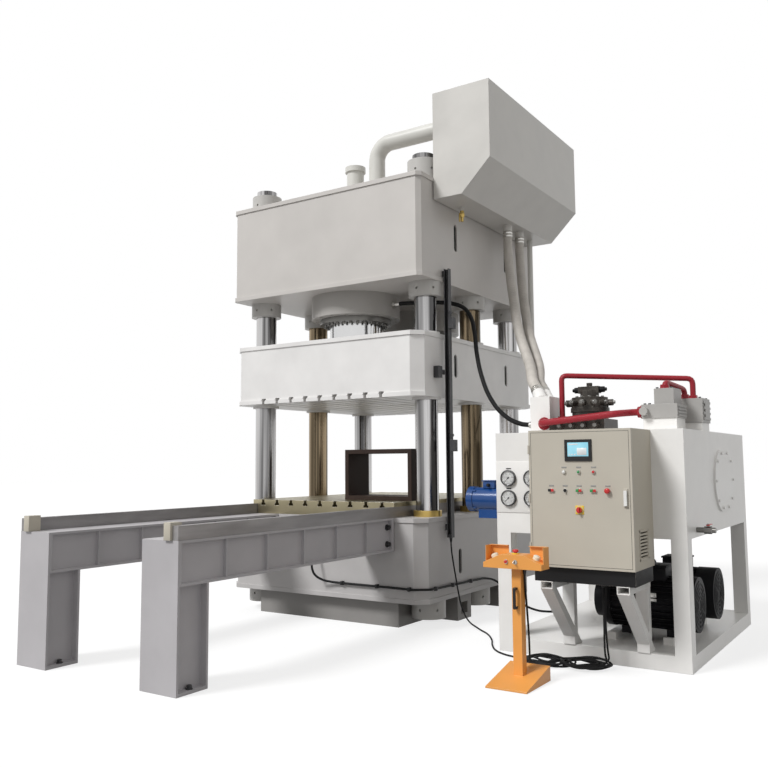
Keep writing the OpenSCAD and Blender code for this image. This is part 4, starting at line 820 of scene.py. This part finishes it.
# %% Girder and foot bolts
bolts = bmesh.new()
LEFT = Matrix.Rotation(radians(-90), 4, "Y")
for middle in (-0.7575, 0.7575):
    for z in (0.845, 1.010):
        screw_head(bolts, at(middle + 0.1585, -1.492, z, RIGHT), 0.046, 0.026, 0.064)
        screw_head(bolts, at(middle - 0.1585, -1.492, z, LEFT), 0.046, 0.026, 0.064)
    for side in (-0.1605, 0.1605):
        screw_head(bolts, at(middle + side, -4.125, 0.025), 0.036, 0.024, 0.054)
piece("outrigger_bolts", bolts, "frame", black_bolt)

# %% Pale stops at the rails' ends
stops = bmesh.new()
for side in (-1, 1):
    block(stops, (side * 0.850 - 0.0356, -4.3006, 1.1004), (side * 0.850 + 0.0356, -4.1894, 1.2306), 0.002)
piece("rail_stop_paint", stops, "frame", coat("stop_cream", (0.52, 0.48, 0.40), 0.5, worn=(0.3, 0.28, 0.26),
    dirt=0.3))

# %% [markdown]
# ## Power unit
# Pipe unions, screws and coils on the valves, and the guards and terminal boxes of the motors are
# small repeats. Each is made once as a shape and set out by a loop, as a fitter would do from a
# drawing.

# %% Unions on the red pipes
unions = bmesh.new()
for point, way, across in (((2.673, -1.188, 2.030), (0, 0, 1), 0.072),
        ((3.740, -0.740, 2.200), (0, 0, 1), 0.072),
        ((3.620, -1.220, 2.269), (0, 0, 1), 0.072), ((3.700, -0.880, 2.200), (0, 0, 1), 0.072),
        ((2.558, -1.345, 2.000), (0, -1, 0), 0.086), ((3.4397, -1.288, 2.075), (-1, 0, 0), 0.086)):
    screw_head(unions, along(point, way), across, 0.030, across * 1.4)
piece("pipe_unions", unions, "frame", pipe_red)

# %% Screws of the valve blocks
socket_head = [(0.0, 0.004), (0.007, 0.004), (0.007, 0.013), (0.011, 0.013), (0.012, 0.011), (0.012, 0.0)]
screws = bmesh.new()
for block_top, across, deep in ((2.268, (3.578, 3.697), (-1.307, -1.103)),
        (2.199, (3.676, 3.834), (-0.905, -0.675)), (2.134, (3.470, 3.510), (-1.310, -1.090))):
    for x in across:
        for y in deep:
            turned(screws, socket_head, at(x, y, block_top), 16)
piece("block_screws", screws, "frame", black_bolt)

# %% Plugs, screws and coils of the valve stack
stack_low = Vector(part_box("valve_stack")[0])
stack_foot = Vector((stack_low.x + 0.280, stack_low.y + 0.232, stack_low.z))
stack_heart = Matrix.Translation(stack_foot + Vector((0.040, 0, 0)))
plugs_and_slot_shade, coils = bmesh.new(), bmesh.new()
for i in range(7):
    cartridge = stack_heart @ Matrix.Rotation(pi + i * pi / 6, 4, "Z") @ at(0.2135, 0, 0.270, RIGHT)
    screw_head(plugs_and_slot_shade, cartridge, 0.030, 0.014, 0.044)
for i in range(10):
    screw_head(plugs_and_slot_shade, stack_heart @ Matrix.Rotation(i * pi / 5, 4, "Z") @ at(0.118, 0, 0.3195), 0.024, 0.014)
for x in (-0.170, -0.060, 0.050, 0.160):
    screw_head(plugs_and_slot_shade, at(stack_foot.x + x, stack_low.y + 0.0005, stack_foot.z + 0.062, FRONT), 0.034, 0.014)
for turn in (0, pi):
    coil = stack_heart @ Matrix.Rotation(turn, 4, "Z") @ at(0.0945, 0, 0.391, RIGHT)
    turned(coils, [(0.0, 0.064), (0.014, 0.064), (0.016, 0.060), (0.016, 0.046), (0.026, 0.044),
        (0.027, 0.040), (0.027, 0.0)], coil, 24)
piece("stack_plugs", plugs_and_slot_shade, "frame", gland_steel)
piece("stack_coils", coils, "frame", motor_black)

# %% Bolts, cover and box of the blue motor
fins = bmesh.new()
motor = at(2.228, -1.488, 1.310, LEFT)
for i in range(4):
    spin = Matrix.Rotation(i * pi / 2 + pi / 4, 4, "Z")
    screw_head(fins, motor @ spin @ Matrix.Translation((0.122, 0, 0.030)), 0.018, 0.010)
    block(fins, (0.107, -0.010, 0.270), (0.119, 0.010, 0.300), 0.002, motor @ spin)
block(fins, (2.020, -1.548, 1.410), (2.140, -1.428, 1.474), 0.006)
block(fins, (2.012, -1.556, 1.474), (2.148, -1.420, 1.486), 0.003)
for i in range(8):
    spin = Matrix.Rotation(i * pi / 4 + 0.2, 4, "Z")
    block(fins, (0.030, -0.004, 0.358), (0.104, 0.004, 0.363), 0.001, motor @ spin)
for radius in (0.030, 0.055, 0.080, 0.104):
    turned(fins, [(radius - 0.004, 0.3595), (radius - 0.004, 0.3640), (radius + 0.004, 0.3640),
        (radius + 0.004, 0.3595)], motor, 32, closed=True)
piece("blue_motor_fittings", fins, "frame", motor_blue)
gland = bmesh.new()
turned(gland, [(0.0, 0.0), (0.016, 0.0), (0.016, 0.018), (0.012, 0.030), (0.0, 0.030)],
    at(2.080, -1.548, 1.442, FRONT), 20)
piece("motor_gland", gland, "frame", black_plastic)

# %% Cowls and boxes of the pump motors
cowls, plates = bmesh.new(), bmesh.new()
for y in (-1.086, -0.3395):
    axle = at(3.803, y, 0.435, RIGHT)
    for radius in (0.050, 0.085, 0.120, 0.155, 0.190):
        turned(cowls, [(radius - 0.006, -0.001), (radius - 0.006, 0.005), (radius + 0.006, 0.005),
            (radius + 0.006, -0.001)], axle, 40, closed=True)
    for i in range(6):
        block(cowls, (0.040, -0.005, -0.001), (0.205, 0.005, 0.0045), 0.001,
            axle @ Matrix.Rotation(i * pi / 3, 4, "Z"))
    block(cowls, (3.330, y - 0.110, 0.610), (3.560, y + 0.110, 0.745), 0.010)
    block(cowls, (3.322, y - 0.118, 0.745), (3.568, y + 0.118, 0.762), 0.004)
    turned(cowls, [(0.026, -0.008), (0.042, -0.008), (0.042, 0.008), (0.026, 0.008)],
        at(3.200, y, 0.684, FRONT), 24, closed=True)
    block(plates, (3.390, y - 0.2080, 0.470), (3.500, y - 0.2015, 0.540), 0.001)
piece("pump_motor_cowls", cowls, "frame", motor_black)
piece("motor_plates", plates, "frame", zinc)

# %% [markdown]
# ## Prefill tank valve
# A small brass cock hangs under the overhead tank to let water off. It is turned brass with a
# flat lever, screwed into the six-sided boss.

# %% Brass cock under the tank
cock = bmesh.new()
turned(cock, [(0.0, 0.0), (0.021, 0.0), (0.021, -0.022), (0.028, -0.026), (0.030, -0.050), (0.024, -0.070),
    (0.016, -0.074), (0.016, -0.118), (0.0, -0.118)], at(1.400, -0.700, 4.364), 24)
turned(cock, [(0.0, 0.0), (0.012, 0.0), (0.012, 0.052), (0.0, 0.052)], at(1.400, -0.700, 4.318, FRONT), 20)
block(cock, (1.392, -0.760, 4.230), (1.408, -0.754, 4.325), 0.002)
piece("tank_cock", cock, "frame", brass)

# %% [markdown]
# ## Cabinet fittings
# A pressed vent frame and a handle plate break up the plain sheet metal. They are folded or punched
# parts on a real cabinet, so thin beveled blocks stand for them.

# %% Vent frame and handle plate
def four_bars(low, high, width):
    """Opposite corners of the four bars round an oblong, each as two pairs."""
    (left, foot), (right, top) = low, high
    return [((left, foot), (right, foot + width)), ((left, top - width), (right, top)),
        ((left, foot), (left + width, top)), ((right - width, foot), (right, top))]


side_x = 3.609
vent = bmesh.new()
for (left, foot), (right, top) in four_bars((-2.074, 0.888), (-1.840, 1.122), 0.016):
    block(vent, (side_x, left, foot), (side_x + 0.005, right, top), 0.0015)
piece("vent_frame", vent, "frame", cabinet_beige)
plate = bmesh.new()
block(plate, (3.541, door_y - 0.0025, 1.308), (3.573, door_y, 1.438), 0.001)
piece("handle_plate", plate, "door", zinc)

# %% [markdown]
# ## Inside the cabinet
# The open door shows a plated sheet on four pillars, with ducts between rows of breakers, relays,
# contactors and terminals. Such gear snaps on a rail side by side, so each row is a loop of beveled
# blocks along one rail.

# %% Mounting sheet with its rows of gear
sheet_y, sheet_left, sheet_right = -1.712, 2.850, 3.530
rail_left, rail_right = sheet_left + 0.020, sheet_right - 0.020
sheet, ducts, pale_gear, dark_gear = bmesh.new(), bmesh.new(), bmesh.new(), bmesh.new()
block(sheet, (sheet_left, sheet_y, 0.900), (sheet_right, sheet_y + 0.003, 1.840), 0.001)
for x in (sheet_left + 0.030, sheet_right - 0.030):
    for z in (0.930, 1.810):
        block(sheet, (x - 0.010, sheet_y + 0.002, z - 0.010), (x + 0.010, -1.6895, z + 0.010), 0.001)


def gear_row(bm, start, z, count, pitch, size):
    """Equal units side by side on a rail: size is their width, depth and height."""
    for i in range(count):
        x = start + i * pitch
        block(bm, (x, sheet_y - size[1], z - size[2] / 2), (x + size[0], sheet_y - 0.006, z + size[2] / 2),
            0.002)


for z in (1.720, 1.480, 1.240, 1.000):
    block(sheet, (rail_left, sheet_y - 0.0075, z - 0.0175), (rail_right, sheet_y + 0.001, z + 0.0175), 0.001)
for z in (1.600, 1.360, 1.120):
    block(ducts, (rail_left, sheet_y - 0.060, z - 0.025), (rail_right, sheet_y + 0.001, z + 0.025), 0.002)
gear_row(pale_gear, 2.890, 1.720, 14, 0.0365, (0.035, 0.070, 0.085))
gear_row(dark_gear, 2.902, 1.720, 14, 0.0365, (0.011, 0.082, 0.024))
gear_row(pale_gear, 2.890, 1.480, 1, 0.250, (0.240, 0.085, 0.100))
gear_row(dark_gear, 3.160, 1.480, 10, 0.0290, (0.027, 0.075, 0.080))
gear_row(dark_gear, 2.890, 1.240, 8, 0.0680, (0.060, 0.095, 0.090))
gear_row(pale_gear, 2.904, 1.240, 8, 0.0680, (0.032, 0.104, 0.040))
gear_row(pale_gear, 2.890, 1.000, 44, 0.0125, (0.0115, 0.048, 0.055))
piece("mounting_sheet", sheet, "frame", zinc)
piece("wire_ducts", ducts, "frame", valve_grey)
piece("pale_gear", pale_gear, "frame", ivory_plastic)
piece("dark_gear", dark_gear, "frame", black_plastic)

# %% [markdown]
# ## Two-hand stand
# The press may only stroke while both hands are on the palm buttons. Ivory domes sit on the
# sloped shoulders under the hoods, a red stop on top, and a red button and a key at the front.

# %% Palm domes and the stand's stop
stand = Vector((2.842, -2.650, 0.854))
slope = radians(23.855)
dome_outline = [(0.0, 0.0335), (0.010, 0.0330), (0.0195, 0.0308), (0.0262, 0.0268), (0.0286, 0.0215),
    (0.0286, 0.0135), (0.0, 0.0135)]
stop_outline = [(0.0, 0.0355), (0.010, 0.0348), (0.0180, 0.0325), (0.0222, 0.0285), (0.0228, 0.0250),
    (0.0228, 0.0155), (0.0, 0.0155)]
stop_seat = at(stand.x, stand.y, stand.z + 0.105)
for name, side in (("palm_left", -1), ("palm_right", 1)):
    dome = bmesh.new()
    lie = at(stand.x + side * 0.16644, stand.y, stand.z + 0.0712, Matrix.Rotation(side * slope, 4, "Y"))
    turned(dome, dome_outline, lie, 36)
    piece(name + "_dome", dome, name, ivory_plastic)
stop = bmesh.new()
turned(stop, stop_outline, stop_seat, 32)
piece("stand_stop_head", stop, "pedestal_estop", red_plastic)
ring = bmesh.new()
turned(ring, [(0.0122, 0.0), (0.0122, 0.0075), (0.0290, 0.0065), (0.0300, 0.0)], stop_seat, 32, closed=True)
piece("stand_stop_ring", ring, "frame", yellow_plastic)

# %% Button, key and grab handle
front = stand.y - 0.075
height = stand.z + 0.0525
button_seat, key_seat = (at(stand.x + offset, front, height, FRONT) for offset in (-0.045, 0.030))
collars = bmesh.new()
for seat in (button_seat, key_seat):
    turned(collars, [(0.0121, 0.0), (0.0121, 0.0060), (0.0160, 0.0060), (0.0172, 0.0)], seat, 28, closed=True)
piece("stand_collars", collars, "frame", zinc)
cap = bmesh.new()
turned(cap, [(0.0, 0.0166), (0.0080, 0.0160), (0.0112, 0.0145), (0.0117, 0.0120), (0.0117, 0.0085),
    (0.0, 0.0085)], button_seat, 28)
piece("stand_button_cap", cap, "pedestal_button", red_plastic)
key = bmesh.new()
turned(key, [(0.0, 0.0088), (0.0090, 0.0088), (0.0112, 0.0075), (0.0116, 0.0062), (0.0, 0.0062)], key_seat,
    28)
turned(key, [(0.004, 0.0), (0.0115, 0.0), (0.0115, 0.0035), (0.004, 0.0035)],
    at(stand.x + 0.0283, front - 0.034, height, RIGHT), 24, closed=True)
piece("stand_key", key, "key_switch", zinc)
grab = bmesh.new()
for z in (0.5525, 0.6925):
    block(grab, (2.8310, -2.6865, z), (2.8530, -2.6495, z + 0.019), 0.003)
block(grab, (2.8305, -2.6985, 0.5520), (2.8535, -2.6825, 0.7120), 0.006, UP, 3)
piece("stand_grab", grab, "frame", black_plastic)

# %% [markdown]
# ## Painted shade in the side slots, column ends and door seam
# The tall slots in the side walls are painted dark by black slabs a little below the surface,
# which stand in for the shade inside them. They are flat slabs with round ends. Each column ends in
# a turned face with a small centre hole. The door's seam is a fine dark line that runs round the cabinet's
# front.

# %% Black slabs that paint the shade in the side slots
def round_ended(bm, width, length, depth, lie):
    """A slab with round ends, drawn out from a circle pulled in two."""
    before = set(bm.verts)
    bmesh.ops.create_circle(bm, cap_ends=True, segments=26, radius=width / 2)
    rim = [v for v in bm.verts if v not in before]
    for far in (1, -1):
        half = [v for v in rim if v.co.y * far > 0]
        bmesh.ops.translate(bm, vec=(0, far * (length - width) / 2, 0), verts=half)
    face = rim[0].link_faces[0]
    raised = bmesh.ops.extrude_face_region(bm, geom=[face])["geom"]
    bmesh.ops.translate(bm, vec=(0, 0, depth), verts=[v for v in raised if isinstance(v, bmesh.types.BMVert)])
    bmesh.ops.transform(bm, matrix=lie, verts=[v for v in bm.verts if v not in before])


UPRIGHT = Matrix.Rotation(radians(90), 4, "Z") @ Matrix.Rotation(radians(90), 4, "X")
# Black slabs a little inside each slot paint the shade there.
slot_shade_depth, slot_shade_thick = 0.016, 0.012
for name, body, face_x, z, length in (("crown_slot_shade", "frame", 1.278, 4.095, 0.300),
        ("slide_slot_shade", "slide", 1.258, 2.6873, 0.250), ("bed_slot_shade", "frame", 1.278, 0.615, 0.260)):
    plugs_and_slot_shade = bmesh.new()
    for side in (-1, 1):
        for y in (-0.630, 0.630):
            deep = side * (face_x - slot_shade_depth) - (slot_shade_thick if side == 1 else 0)
            round_ended(plugs_and_slot_shade, 0.068, length - 0.002, slot_shade_thick, at(deep, y, z, UPRIGHT))
    piece(name, plugs_and_slot_shade, body, black_rubber)

# %% Turned ends of the columns
column_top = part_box("columns")[1][2]
ends = bmesh.new()
for x in (-1.110, 1.110):
    for y in (-1.013, 0.0, 1.013):
        turned(ends, [(0.0, 0.0004), (0.010, 0.0010), (0.012, 0.0016), (0.114, 0.0016), (0.1185, -0.0008)],
            at(x, y, column_top), 40)
piece("column_ends", ends, "frame", gland_steel)

# %% Seam of the cabinet door
seam = bmesh.new()
for (left, foot), (right, top) in four_bars((2.788, 0.838), (3.592, 1.887), 0.0025):
    block(seam, (left, door_y - 0.0006, foot), (right, door_y, top), 0)
piece("door_seam", seam, "door", dial_ink)
